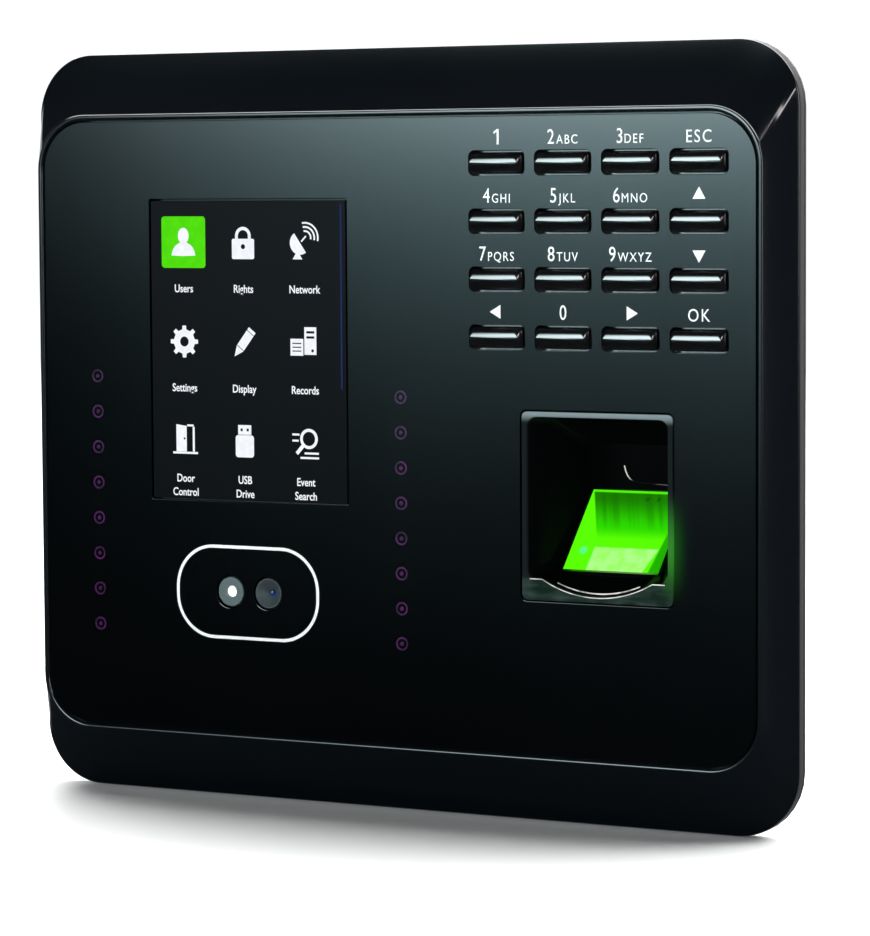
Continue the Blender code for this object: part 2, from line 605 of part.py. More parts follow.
# ---- Front cover ------------------------------------------------------------------------------
def front_cover():
    """Gloss shell: rim, sloped skirt, bead and the wall that the face panel is glued to."""
    bezel_x = BODY_WIDTH / 2 - SKIRT_INSET_X
    bezel_z = BODY_HEIGHT / 2 - SKIRT_INSET_Z

    def bead_ring(inset, y):
        return ring(bezel_x - inset, bezel_z - inset, BEAD_CORNER - inset, y)

    def rim_ring(inset, y):
        return ring(BODY_WIDTH / 2 - inset, BODY_HEIGHT / 2 - inset, RIM_CORNER - inset, y)

    rings = [
        bead_ring(BEAD_WIDTH, SEAT),
        bead_ring(BEAD_WIDTH, BEAD_CREST + BEAD_ROUND),
        bead_ring(BEAD_WIDTH - BEAD_ROUND, BEAD_CREST),
        bead_ring(BEAD_ROUND, BEAD_CREST),
        bead_ring(0.0, BEAD_CREST + BEAD_ROUND),
        rim_ring(RIM_EDGE, RIM_FRONT),
        rim_ring(0.0, RIM_FRONT + RIM_EDGE),
        rim_ring(0.0, FRONT_EDGE),
        rim_ring(COVER_WALL, FRONT_EDGE),
        rim_ring(COVER_WALL, RIM_FRONT + COVER_WALL / 2),
        bead_ring(COVER_WALL, FACE_INNER),
    ]
    cover = loft("front_cover", rings, "gloss_black")
    back = FACE_INNER + THROUGH
    front = SEAT - THROUGH
    seat_half_x = DISPLAY_WIDTH / 2 - DISPLAY_LEDGE
    seat_half_z = DISPLAY_HEIGHT / 2 - DISPLAY_LEDGE
    display_seat = box(
        "cover_cut_display",
        (DISPLAY_X - seat_half_x, front, DISPLAY_Z - seat_half_z),
        (DISPLAY_X + seat_half_x, back, DISPLAY_Z + seat_half_z), None)
    keypad = box(
        "cover_cut_keypad",
        (KEYPAD_X - KEYPAD_HALF_X, front, KEYPAD_Z - KEYPAD_HALF_Z),
        (KEYPAD_X + KEYPAD_HALF_X, back, KEYPAD_Z + KEYPAD_HALF_Z), None)
    finger = box(
        "cover_cut_finger",
        (FINGER_X - FINGER_WIDTH / 2 - GAP, front, GUIDE_BOTTOM - GAP),
        (FINGER_X + FINGER_WIDTH / 2 + GAP, back, GUIDE_TOP + GAP), None)
    cameras = rods(
        "cover_cut_cameras", CAMERA_CENTRES, CAMERA_BARREL_RADIUS + GAP, front, back, None)
    cutters = [display_seat, keypad, finger, cameras]
    for side, (x, top, pitch) in LED_COLUMNS.items():
        margin = LED_RADIUS + LED_SLOT_MARGIN
        cutters.append(box(
            "cover_cut_leds_" + side,
            (x - margin, front, top - pitch * (LED_COUNT - 1) - margin),
            (x + margin, back, top + margin), None))
    bosses = rods(
        "cover_bosses", CASE_SCREWS, BOSS_RADIUS, FRONT_EDGE - BOSS_LENGTH, FRONT_EDGE, None)
    pilot_end = RIM_BACK + GAP - SCREW_LENGTH - PILOT_END_GAP
    pilots = rods(
        "cover_cut_pilots", CASE_SCREWS, SCREW_RADIUS + GAP, pilot_end, SEAM + THROUGH, None)
    fuse(cover, bosses)
    cut(cover, *cutters, pilots)


# ---- Face panel and display window ------------------------------------------------------------
def face_panel():
    """Smoked flat panel with the display window, key slots, lens holes and finger opening."""
    inset = BEAD_WIDTH + GAP
    half_x = BODY_WIDTH / 2 - SKIRT_INSET_X - inset
    half_z = BODY_HEIGHT / 2 - SKIRT_INSET_Z - inset
    outlines = [rounded_outline(half_x, half_z, BEAD_CORNER - inset)]
    outlines.append(rounded_outline(
        DISPLAY_WIDTH / 2 + GAP, DISPLAY_HEIGHT / 2 + GAP, GAP, (DISPLAY_X, DISPLAY_Z), 1))
    outlines.append(rounded_outline(
        FINGER_WIDTH / 2 + GAP, FINGER_HEIGHT / 2 + GAP, FINGER_CORNER + GAP,
        (FINGER_X, FINGER_Z), 3))
    for centre in CAMERA_CENTRES:
        outlines.append(round_outline(centre, CAMERA_BARREL_RADIUS + GAP))
    for z in KEY_ROWS:
        for x in KEY_COLUMNS:
            outlines.append(rounded_outline(KEY_WIDTH / 2, KEY_HEIGHT / 2, KEY_CORNER, (x, z), 3))
    plate("face_panel", outlines, PANEL_FRONT, PANEL_BACK, "panel_black")
    window = rounded_outline(
        DISPLAY_WIDTH / 2, DISPLAY_HEIGHT / 2, GAP, (DISPLAY_X, DISPLAY_Z), 1)
    plate("display_window", [window], PANEL_FRONT + DISPLAY_SINK, PANEL_BACK, "display_glass")


def display_module():
    """Liquid crystal module in its tray, with the flat cable to the main board."""
    box("lcd_panel",
        (DISPLAY_X - LCD_HALF_X, LCD_FRONT, DISPLAY_Z - LCD_HALF_Z),
        (DISPLAY_X + LCD_HALF_X, LCD_BACK, DISPLAY_Z + LCD_HALF_Z), "lcd_grey")
    outer_x = LCD_HALF_X + GAP + LCD_FRAME_WALL
    outer_z = LCD_HALF_Z + GAP + LCD_FRAME_WALL
    frame = box(
        "lcd_frame",
        (DISPLAY_X - outer_x, LCD_FRONT, DISPLAY_Z - outer_z),
        (DISPLAY_X + outer_x, LCD_FRAME_BACK, DISPLAY_Z + outer_z), "steel")
    pocket = box(
        "lcd_frame_pocket",
        (DISPLAY_X - LCD_HALF_X - GAP, LCD_FRONT - THROUGH, DISPLAY_Z - LCD_HALF_Z - GAP),
        (DISPLAY_X + LCD_HALF_X + GAP, LCD_BACK + GAP, DISPLAY_Z + LCD_HALF_Z + GAP), None)
    cable_slot = box(
        "lcd_frame_cable_slot",
        (DISPLAY_X - FLEX_WIDTH / 2 - GAP, LCD_FRONT - THROUGH, DISPLAY_Z - outer_z - THROUGH),
        (DISPLAY_X + FLEX_WIDTH / 2 + GAP, LCD_FRAME_BACK + THROUGH, DISPLAY_Z - LCD_HALF_Z), None)
    cut(frame, pocket, cable_slot)

    start_y = (LCD_FRONT + LCD_BACK) / 2
    end_y = MAIN_BOARD_FRONT - GAP - FLEX_THICK
    start_z = DISPLAY_Z - LCD_HALF_Z - GAP
    steps = 8
    route = []
    for step in range(steps + 1):
        share = step / steps
        y = start_y + (end_y - start_y) * (1 - math.cos(math.pi * share)) / 2
        route.append((y, start_z - LCD_FLEX_DROP * share))
    route.append((end_y, start_z - LCD_FLEX_DROP - LCD_FLEX_TAIL))
    back_side = [(y + FLEX_THICK, z) for y, z in reversed(route)]
    plate("lcd_flex", [route + back_side], DISPLAY_X - FLEX_WIDTH / 2, DISPLAY_X + FLEX_WIDTH / 2,
          "flex_amber", plane="YZ")


# ---- Keypad -----------------------------------------------------------------------------------
KEY_NAMES = (
    ("key_1", "key_2", "key_3", "key_esc"),
    ("key_4", "key_5", "key_6", "key_up"),
    ("key_7", "key_8", "key_9", "key_down"),
    ("key_left", "key_0", "key_right", "key_ok"),
)
KEY_ARC_STEPS = 4
KEY_ARC_END = math.radians(80)


def key(name, x, z):
    """One key: retaining flange, foot in the slot and a rounded ridge standing out of it."""
    foot_x = KEY_WIDTH / 2 - GAP
    foot_z = KEY_HEIGHT / 2 - GAP
    flange_x = KEY_WIDTH / 2 + KEY_FLANGE
    flange_z = KEY_HEIGHT / 2 + KEY_FLANGE
    corner = KEY_CORNER - GAP
    rings = [
        ring(flange_x, flange_z, corner, KEY_BACK - PANEL_FRONT, steps=1),
        ring(flange_x, flange_z, corner, SEAT - PANEL_FRONT, steps=1),
        ring(foot_x, foot_z, corner, SEAT - PANEL_FRONT, steps=1),
        ring(foot_x, foot_z, corner, 0.0, steps=1),
    ]
    for step in range(1, KEY_ARC_STEPS + 1):
        angle = KEY_ARC_END * step / KEY_ARC_STEPS
        rise = math.sin(angle) / math.sin(KEY_ARC_END)
        half_z = foot_z * math.cos(angle)
        rings.append(ring(
            foot_x - KEY_TAPER * rise, half_z, min(corner, 0.8 * half_z), -KEY_PROUD * rise,
            steps=1))
    loft(name, rings, "key_black", location=(x, PANEL_FRONT, z))


def keypad():
    """The sixteen keys over one rubber mat and their contact board."""
    for names, z in zip(KEY_NAMES, KEY_ROWS):
        for name, x in zip(names, KEY_COLUMNS):
            key(name, x, z)
    mat_x = KEYPAD_HALF_X + KEY_MAT_MARGIN
    mat_z = KEYPAD_HALF_Z + KEY_MAT_MARGIN
    mat = box(
        "key_mat",
        (KEYPAD_X - mat_x, MAT_FRONT, KEYPAD_Z - mat_z),
        (KEYPAD_X + mat_x, MAT_FRONT + KEY_MAT_THICK, KEYPAD_Z + mat_z), "silicone")
    bm = bmesh.new()
    size = (KEY_PAD_WIDTH, KEY_PAD_THICK + KEY_MAT_THICK / 2, KEY_PAD_HEIGHT)
    for z in KEY_ROWS:
        for x in KEY_COLUMNS:
            middle = Matrix.Translation((x, PAD_FRONT + size[1] / 2, z))
            bmesh.ops.create_cube(bm, size=1.0, matrix=middle @ Matrix.Diagonal((*size, 1.0)))
    fuse(mat, place("key_mat_pads", mesh_of(bm, "key_mat_pads"), (0.0, 0.0, 0.0), None))
    board_x = KEYPAD_HALF_X + KEY_BOARD_MARGIN
    board_z = KEYPAD_HALF_Z + KEY_BOARD_MARGIN
    box("key_board",
        (KEYPAD_X - board_x, KEY_BOARD_FRONT, KEYPAD_Z - board_z),
        (KEYPAD_X + board_x, KEY_BOARD_BACK, KEYPAD_Z + board_z), "board_green")
    box("key_connector",
        (KEY_LINK_X, KEY_BOARD_BACK + GAP, KEYPAD_Z - KEY_LINK_BELOW),
        (KEY_LINK_X + KEY_LINK_WIDTH, MAIN_BOARD_FRONT - GAP, KEYPAD_Z + KEY_LINK_ABOVE),
        "connector_black")


# ---- Infrared emitters and cameras ------------------------------------------------------------
def emitter_strips():
    """Two upright boards, each with its column of emitters reaching into the cover's slot."""
    for side, (x, top, pitch) in LED_COLUMNS.items():
        bottom = top - pitch * (LED_COUNT - 1)
        half = LED_BOARD_WIDTH / 2
        board = box(
            "led_strip_" + side,
            (x - half, LED_BASE, bottom - half),
            (x + half, LED_BASE + LED_BOARD_THICK, top + half), "emitter")
        centres = [(x, top - pitch * i) for i in range(LED_COUNT)]
        fuse(board, rods(
            "leds_" + side, centres, LED_RADIUS, SEAT, LED_BASE + LED_BOARD_THICK / 2, None,
            steps=10))


def cameras():
    """Two small cameras side by side on one board, one for visible and one for infrared light."""
    board_x = CAMERA_BOARD_WIDTH / 2
    board_z = CAMERA_BOARD_HEIGHT / 2
    box("camera_board",
        (CAMERA_X - board_x, CAMERA_BOARD_FRONT, CAMERA_Z - board_z),
        (CAMERA_X + board_x, CAMERA_BOARD_FRONT + BOARD_THICK, CAMERA_Z + board_z), "board_green")
    front = PANEL_FRONT + CAMERA_SINK
    length = CAMERA_BOARD_FRONT - GAP - front
    barrel = [
        (CAMERA_BARREL_RADIUS, 0.0),
        (CAMERA_BARREL_RADIUS, -length),
        (CAMERA_BORE_RADIUS, -length),
        (CAMERA_BORE_RADIUS, -CAMERA_CONE_DEPTH),
        (CAMERA_CONE_RADIUS, 0.0),
        (CAMERA_BARREL_RADIUS, 0.0),
    ]
    lens_top = -CAMERA_CONE_DEPTH
    lens = [(0.0, lens_top)]
    for step in range(1, 5):
        share = step / 4
        lens.append((LENS_RADIUS * share, lens_top - LENS_RISE * share * share))
    lens.append((LENS_RADIUS, lens_top - LENS_RISE - LENS_BODY))
    lens.append((0.0, lens_top - LENS_RISE - LENS_BODY))
    for side, (x, z) in zip(("left", "right"), CAMERA_CENTRES):
        turned("camera_barrel_" + side, barrel, (x, front, z), "matte_black", TOWARDS_FRONT)
        turned("camera_lens_" + side, lens, (x, front, z), "lens_glass", TOWARDS_FRONT, steps=12)


# ---- Fingerprint recess and sensor ------------------------------------------------------------
def scoop_ring(half_width, depth, z, y):
    """A shallow arc hanging from a straight top edge, for the finger's hollow in the lip."""
    radius = (half_width ** 2 + depth ** 2) / (2 * depth)
    sweep = math.asin(half_width / radius)
    steps = 10
    points = []
    for step in range(steps + 1):
        angle = -sweep + 2 * sweep * step / steps
        points.append((
            FINGER_X + radius * math.sin(angle), y, z - depth + radius * (1 - math.cos(angle))))
    points.append((FINGER_X + half_width, y, z + THROUGH))
    points.append((FINGER_X - half_width, y, z + THROUGH))
    return points


def finger_sensor():
    """Guide that the finger rests in, the glass prism under it, its light box and board."""
    low_y, low_z = PLATEN_LOW
    high_y, high_z = PLATEN_HIGH
    half_x = FINGER_WIDTH / 2
    guide = plate(
        "finger_guide",
        [rounded_outline(half_x, FINGER_HEIGHT / 2, FINGER_CORNER, (FINGER_X, FINGER_Z), 3)],
        PANEL_FRONT, GUIDE_BACK, "guide_black")
    flange_x = half_x + FINGER_FLANGE
    flange_z = FINGER_HEIGHT / 2 + FINGER_FLANGE
    flange = box(
        "finger_guide_flange",
        (FINGER_X - flange_x, INNER_PARTS, FINGER_Z - flange_z),
        (FINGER_X + flange_x, INNER_PARTS + FINGER_FLANGE_THICK, FINGER_Z + flange_z), None)

    mouth_low = GUIDE_BOTTOM + FINGER_LIP
    mouth_high = GUIDE_TOP - FINGER_RIM
    mouth_x = half_x - FINGER_RIM
    back_x = PLATEN_WIDTH / 2 + THROAT_MARGIN

    def recess_ring(half, low, high, y):
        corner = FINGER_MOUTH_CORNER
        return ring(half, (high - low) / 2, corner, y, (FINGER_X, (low + high) / 2), 4)

    recess = loft("finger_recess", [
        recess_ring(mouth_x, mouth_low, mouth_high, PANEL_FRONT - THROUGH),
        recess_ring(mouth_x, mouth_low, mouth_high, PANEL_FRONT),
        recess_ring(mouth_x - RECESS_MID_INSET, low_z - GAP, mouth_high - GAP, low_y),
        recess_ring(back_x, high_z - GAP, high_z + THROAT_HEIGHT, high_y),
    ], None)
    scoop = loft("finger_scoop", [
        scoop_ring(SCOOP_HALF_WIDTH, SCOOP_DEPTH, mouth_low, PANEL_FRONT - THROUGH),
        scoop_ring(SCOOP_HALF_WIDTH, SCOOP_DEPTH, mouth_low, PANEL_FRONT),
        scoop_ring(SCOOP_HALF_WIDTH, SCOOP_DEPTH / 3, low_z, low_y),
    ], None)
    shaft_outline = [
        (low_y - GAP, low_z - GAP),
        (GUIDE_BACK + THROUGH, low_z - GAP),
        (GUIDE_BACK + THROUGH, high_z + GAP),
        (high_y, high_z + GAP),
    ]
    shaft_x = PLATEN_WIDTH / 2 + GAP
    shaft = plate("prism_shaft", [shaft_outline], FINGER_X - shaft_x, FINGER_X + shaft_x, None,
                  plane="YZ")
    fuse(guide, flange)
    cut(guide, recess, scoop, shaft)

    prism_outline = [(low_y, low_z), (high_y, low_z), (high_y, high_z)]
    plate("sensor_prism", [prism_outline], FINGER_X - PLATEN_WIDTH / 2,
          FINGER_X + PLATEN_WIDTH / 2, "platen_green", plane="YZ")

    margin = SENSOR_HOUSING_MARGIN
    front = GUIDE_BACK + GAP
    back = front + SENSOR_HOUSING_DEPTH
    housing = box(
        "sensor_housing",
        (FINGER_X - shaft_x - margin, front, low_z - GAP - margin),
        (FINGER_X + shaft_x + margin, back, high_z + GAP + margin), "matte_black")
    light_box = box(
        "sensor_light_box",
        (FINGER_X - shaft_x, front - THROUGH, low_z - GAP),
        (FINGER_X + shaft_x, back - SENSOR_HOUSING_WALL, high_z + GAP), None)
    cut(housing, light_box)
    board_margin = margin + SENSOR_BOARD_MARGIN
    box("sensor_board",
        (FINGER_X - shaft_x - board_margin, back + GAP, low_z - GAP - board_margin),
        (FINGER_X + shaft_x + board_margin, back + GAP + SENSOR_BOARD_THICK,
         high_z + GAP + board_margin), "board_green")


# ---- Rear cover -------------------------------------------------------------------------------
ETHERNET_X = BAY_X0 + ETHERNET_FROM_BAY
TERMINAL_X = BAY_X0 + TERMINAL_FROM_BAY
TERMINAL_WIDTH = TERMINAL_WAYS * TERMINAL_PITCH
POWER_X = BAY_X0 + POWER_FROM_BAY
# name: left side, width and height of each connector in the bay's ceiling
PORTS = {
    "ethernet": (ETHERNET_X, ETHERNET_WIDTH, ETHERNET_HEIGHT),
    "terminal": (TERMINAL_X, TERMINAL_WIDTH, TERMINAL_HEIGHT),
    "power": (POWER_X, POWER_WIDTH, POWER_HEIGHT),
}


def rear_cover():
    """Matte shell with the cable bay, the sound slots and the slots for the wall hooks."""
    def housing_ring(inset, y):
        return ring(
            HOUSING_HALF_X - inset, HOUSING_HALF_Z - inset, HOUSING_CORNER - inset, y)

    def rim_ring(inset, y):
        return ring(BODY_WIDTH / 2 - inset, BODY_HEIGHT / 2 - inset, RIM_CORNER - inset, y)

    cover = loft("rear_cover", [
        housing_ring(SIDE_WALL, HOUSING_INNER),
        housing_ring(SIDE_WALL, REAR_EDGE),
        rim_ring(0.0, REAR_EDGE),
        rim_ring(0.0, RIM_BACK - RIM_EDGE),
        rim_ring(RIM_EDGE, RIM_BACK),
        housing_ring(0.0, RIM_BACK),
        housing_ring(0.0, HOUSING_BACK - HOUSING_EDGE),
        housing_ring(HOUSING_EDGE, HOUSING_BACK),
    ], "matte_black")

    bay_block = box(
        "bay_block",
        (BAY_X0 - SIDE_WALL, BAY_FLOOR - BAY_FLOOR_WALL, HOUSING_BOTTOM + SIDE_WALL / 2),
        (BAY_X1 + SIDE_WALL, HOUSING_BACK - REAR_WALL / 2, BAY_CEILING + SIDE_WALL), None)
    lock_boss = rods(
        "lock_boss", [(LOCK_X, -LOCK_SCREW_FROM_WALL)], LOCK_BOSS_RADIUS,
        HOUSING_BOTTOM + SIDE_WALL / 2, HOUSING_BOTTOM + LOCK_SCREW_LENGTH + LOCK_BOSS_END,
        None, "Z")
    fuse(cover, bay_block, lock_boss)

    bay = box(
        "cut_bay",
        (BAY_X0, BAY_FLOOR, HOUSING_BOTTOM - THROUGH),
        (BAY_X1, HOUSING_BACK + THROUGH, BAY_CEILING), None)
    lock_hole = rods(
        "cut_lock_hole", [(LOCK_X, -LOCK_SCREW_FROM_WALL)], SCREW_RADIUS + GAP,
        HOUSING_BOTTOM - THROUGH, HOUSING_BOTTOM + LOCK_SCREW_LENGTH, None, "Z", 12)
    screw_holes = rods(
        "cut_screw_holes", CASE_SCREWS, SCREW_RADIUS + GAP, REAR_EDGE - THROUGH,
        RIM_BACK + THROUGH, None, steps=12)
    round_holes = rods(
        "cut_reset_hole", [(RESET_X, RESET_Z)], RESET_HOLE_RADIUS,
        HOUSING_INNER - THROUGH, HOUSING_BACK + THROUGH, None, steps=12)
    tamper_hole = rods(
        "cut_tamper_hole", [(TAMPER_X, TAMPER_Z)], TAMPER_RADIUS + GAP,
        HOUSING_INNER - THROUGH, HOUSING_BACK + THROUGH, None, steps=12)
    cutters = [bay, lock_hole, screw_holes, round_holes, tamper_hole]
    for port, (x, width, height) in PORTS.items():
        cutters.append(box(
            "cut_port_" + port,
            (x - GAP, PORT_BACK - GAP, PORT_FACE - GAP),
            (x + width + GAP, PORT_BACK + height + GAP, BAY_CEILING + SIDE_WALL + THROUGH), None))
    cutters.append(box(
        "cut_usb",
        (USB_X - USB_WIDTH / 2 - GAP, PORT_BACK - GAP, HOUSING_BOTTOM - THROUGH),
        (USB_X + USB_WIDTH / 2 + GAP, PORT_BACK + USB_HEIGHT + GAP,
         HOUSING_BOTTOM + SIDE_WALL + THROUGH), None))
    for number, (x, foot) in enumerate(HOOKS, 1):
        half = HOOK_WIDTH / 2 + GAP
        cutters.append(box(
            f"cut_hook_slot_{number}",
            (x - half, HOUSING_INNER - THROUGH, foot - LIFT_TRAVEL - 2 * GAP),
            (x + half, HOUSING_BACK + THROUGH, foot + HOOK_STUB + GAP), None))
    length, width = GRILLE_SLOT
    for number in range(GRILLE_SLOTS):
        z = SPEAKER_Z + GRILLE_PITCH * (number - (GRILLE_SLOTS - 1) / 2)
        cutters.append(box(
            f"cut_sound_slot_{number + 1}",
            (SPEAKER_X - length / 2, HOUSING_INNER - THROUGH, z - width / 2),
            (SPEAKER_X + length / 2, HOUSING_BACK + THROUGH, z + width / 2), None))
    cut(cover, *cutters)


def case_screws():
    """Four pan-head screws through the back of the rim into the front cover."""
    head_back = RIM_BACK + GAP + SCREW_HEAD_HEIGHT
    profile = [
        (0.0, 0.0),
        (0.7 * SCREW_HEAD_RADIUS, 0.0),
        (SCREW_HEAD_RADIUS, -0.35 * SCREW_HEAD_HEIGHT),
        (SCREW_HEAD_RADIUS, -SCREW_HEAD_HEIGHT),
        (SCREW_RADIUS, -SCREW_HEAD_HEIGHT),
        (SCREW_RADIUS, -SCREW_HEAD_HEIGHT - SCREW_LENGTH + SCREW_RADIUS / 2),
        (SCREW_RADIUS / 2, -SCREW_HEAD_HEIGHT - SCREW_LENGTH),
        (0.0, -SCREW_HEAD_HEIGHT - SCREW_LENGTH),
    ]
    for number, (x, z) in enumerate(CASE_SCREWS, 1):
        turned(f"case_screw_{number}", profile, (x, head_back, z), "zinc", TOWARDS_WALL, steps=12)


# ---- Boards and connectors --------------------------------------------------------------------
def main_board():
    """L-shaped board behind the display, reaching under the finger guide to the USB socket."""
    left = from_left(MAIN_BOARD_LEFT)
    right = KEY_LINK_X + KEY_LINK_WIDTH + MAIN_BOARD_PAST_LINK
    top = from_top(MAIN_BOARD_TOP)
    bottom = from_bottom(MAIN_BOARD_BOTTOM)
    usb_left = BAY_X1 + SIDE_WALL + BOARD_FROM_BAY
    usb_right = USB_X + USB_WIDTH / 2 + BOARD_PAST_USB
    usb_top = GUIDE_BOTTOM - FINGER_FLANGE - BOARD_BELOW_GUIDE
    usb_bottom = HOUSING_BOTTOM + SIDE_WALL + BOARD_ABOVE_FLOOR
    outline = [
        (left, bottom), (usb_left, bottom), (usb_left, usb_bottom), (usb_right, usb_bottom),
        (usb_right, usb_top), (right, usb_top), (right, top), (left, top),
    ]
    inset = BOARD_HOLE_INSET
    corners = [(left + inset, top - inset), (right - inset, top - inset),
               (left + inset, bottom + inset)]
    holes = [round_outline(corner, BOARD_HOLE_RADIUS, 10) for corner in corners]
    plate("main_board", [outline, *holes], MAIN_BOARD_FRONT, MAIN_BOARD_BACK, "board_green")

    shield_x = from_left(SHIELD_FROM_LEFT)
    shield_z = bottom + SHIELD_ABOVE_EDGE + SHIELD_SIZE / 2
    half = SHIELD_SIZE / 2
    box("processor_shield",
        (shield_x - half, MAIN_BOARD_FRONT - GAP - SHIELD_THICK, shield_z - half),
        (shield_x + half, MAIN_BOARD_FRONT - GAP, shield_z + half), "steel")
    relay_width, relay_height, relay_depth = RELAY_SIZE
    relay_x = from_left(RELAY_FROM_LEFT)
    relay_z = from_bottom(RELAY_FROM_BOTTOM)
    box("door_relay",
        (relay_x - relay_width / 2, PORT_BACK, relay_z - relay_height / 2),
        (relay_x + relay_width / 2, PORT_BACK + relay_depth, relay_z + relay_height / 2),
        "relay_blue")


def clock_cell():
    """Coin cell that keeps the clock, in its round cup on the back of the board."""
    cup_radius = BATTERY_RADIUS + GAP + HOLDER_WALL
    depth = HOLDER_BASE + GAP + HOLDER_GRIP * BATTERY_THICK
    inner = BATTERY_RADIUS + GAP
    cup = [
        (0.0, HOLDER_BASE - depth),
        (inner, HOLDER_BASE - depth),
        (inner, 0.0),
        (cup_radius, 0.0),
        (cup_radius, -depth),
        (0.0, -depth),
    ]
    back = PORT_BACK + depth
    turned("battery_holder", cup, (BATTERY_X, back, BATTERY_Z), "connector_black", TOWARDS_WALL)
    cell_back = PORT_BACK + HOLDER_BASE + GAP + BATTERY_THICK
    cell = [
        (0.0, 0.0),
        (BATTERY_RADIUS - BATTERY_EDGE, 0.0),
        (BATTERY_RADIUS, -BATTERY_EDGE),
        (BATTERY_RADIUS, -BATTERY_THICK),
        (0.0, -BATTERY_THICK),
    ]
    turned("clock_battery", cell, (BATTERY_X, cell_back, BATTERY_Z), "zinc", TOWARDS_WALL)


def connectors():
    """Network, wiring and power sockets over the cable bay, and the USB socket below."""
    top = PORT_FACE + ETHERNET_LENGTH
    jack = box(
        "ethernet_jack", (ETHERNET_X, PORT_BACK, PORT_FACE),
        (ETHERNET_X + ETHERNET_WIDTH, PORT_BACK + ETHERNET_HEIGHT, top), "zinc")
    middle_x = ETHERNET_X + ETHERNET_WIDTH / 2
    middle_y = PORT_BACK + ETHERNET_HEIGHT / 2
    cut(jack, box(
        "ethernet_mouth",
        (middle_x - ETHERNET_MOUTH_WIDTH / 2, middle_y - ETHERNET_MOUTH_HEIGHT / 2,
         PORT_FACE - THROUGH),
        (middle_x + ETHERNET_MOUTH_WIDTH / 2, middle_y + ETHERNET_MOUTH_HEIGHT / 2,
         PORT_FACE + ETHERNET_MOUTH_DEPTH), None))

    block = box(
        "terminal_block", (TERMINAL_X, PORT_BACK, PORT_FACE),
        (TERMINAL_X + TERMINAL_WIDTH, PORT_BACK + TERMINAL_HEIGHT, PORT_FACE + TERMINAL_LENGTH),
        "terminal_green")
    bm = bmesh.new()
    size = (TERMINAL_HOLE, TERMINAL_HOLE, TERMINAL_HOLE_DEPTH + THROUGH)
    for way in range(TERMINAL_WAYS):
        middle = Matrix.Translation((
            TERMINAL_X + TERMINAL_PITCH * (way + 0.5), PORT_BACK + TERMINAL_HEIGHT / 2,
            PORT_FACE - THROUGH + size[2] / 2))
        bmesh.ops.create_cube(bm, size=1.0, matrix=middle @ Matrix.Diagonal((*size, 1.0)))
    cut(block, place("terminal_holes", mesh_of(bm, "terminal_holes"), (0.0, 0.0, 0.0), None))

    power = box(
        "power_jack", (POWER_X, PORT_BACK, PORT_FACE),
        (POWER_X + POWER_WIDTH, PORT_BACK + POWER_HEIGHT, PORT_FACE + POWER_LENGTH),
        "connector_black")
    bore_at = [(POWER_X + POWER_WIDTH / 2, PORT_BACK + POWER_HEIGHT / 2)]
    cut(power, rods(
        "power_bore", bore_at, POWER_BORE_RADIUS, PORT_FACE - THROUGH, PORT_FACE + POWER_DEPTH,
        None, "Z", 16))
    fuse(power, rods(
        "power_pin", bore_at, POWER_PIN_RADIUS, PORT_FACE + PORT_PROUD,
        PORT_FACE + POWER_DEPTH + POWER_PIN_ROOT, None, "Z", 10))

    face = HOUSING_BOTTOM
    usb = box(
        "usb_socket", (USB_X - USB_WIDTH / 2, PORT_BACK, face),
        (USB_X + USB_WIDTH / 2, PORT_BACK + USB_HEIGHT, face + USB_LENGTH), "zinc")
    cut(usb, box(
        "usb_mouth",
        (USB_X - USB_WIDTH / 2 + USB_SHELL, PORT_BACK + USB_SHELL, face - THROUGH),
        (USB_X + USB_WIDTH / 2 - USB_SHELL, PORT_BACK + USB_HEIGHT - USB_SHELL,
         face + USB_DEPTH), None))
    tongue_back = PORT_BACK + USB_HEIGHT - USB_SHELL - USB_TONGUE_GAP
    fuse(usb, box(
        "usb_tongue",
        (USB_X - USB_TONGUE_WIDTH / 2, tongue_back - USB_TONGUE_THICK, face + USB_TONGUE_STEP),
        (USB_X + USB_TONGUE_WIDTH / 2, tongue_back, face + USB_DEPTH + USB_TONGUE_STEP), None))


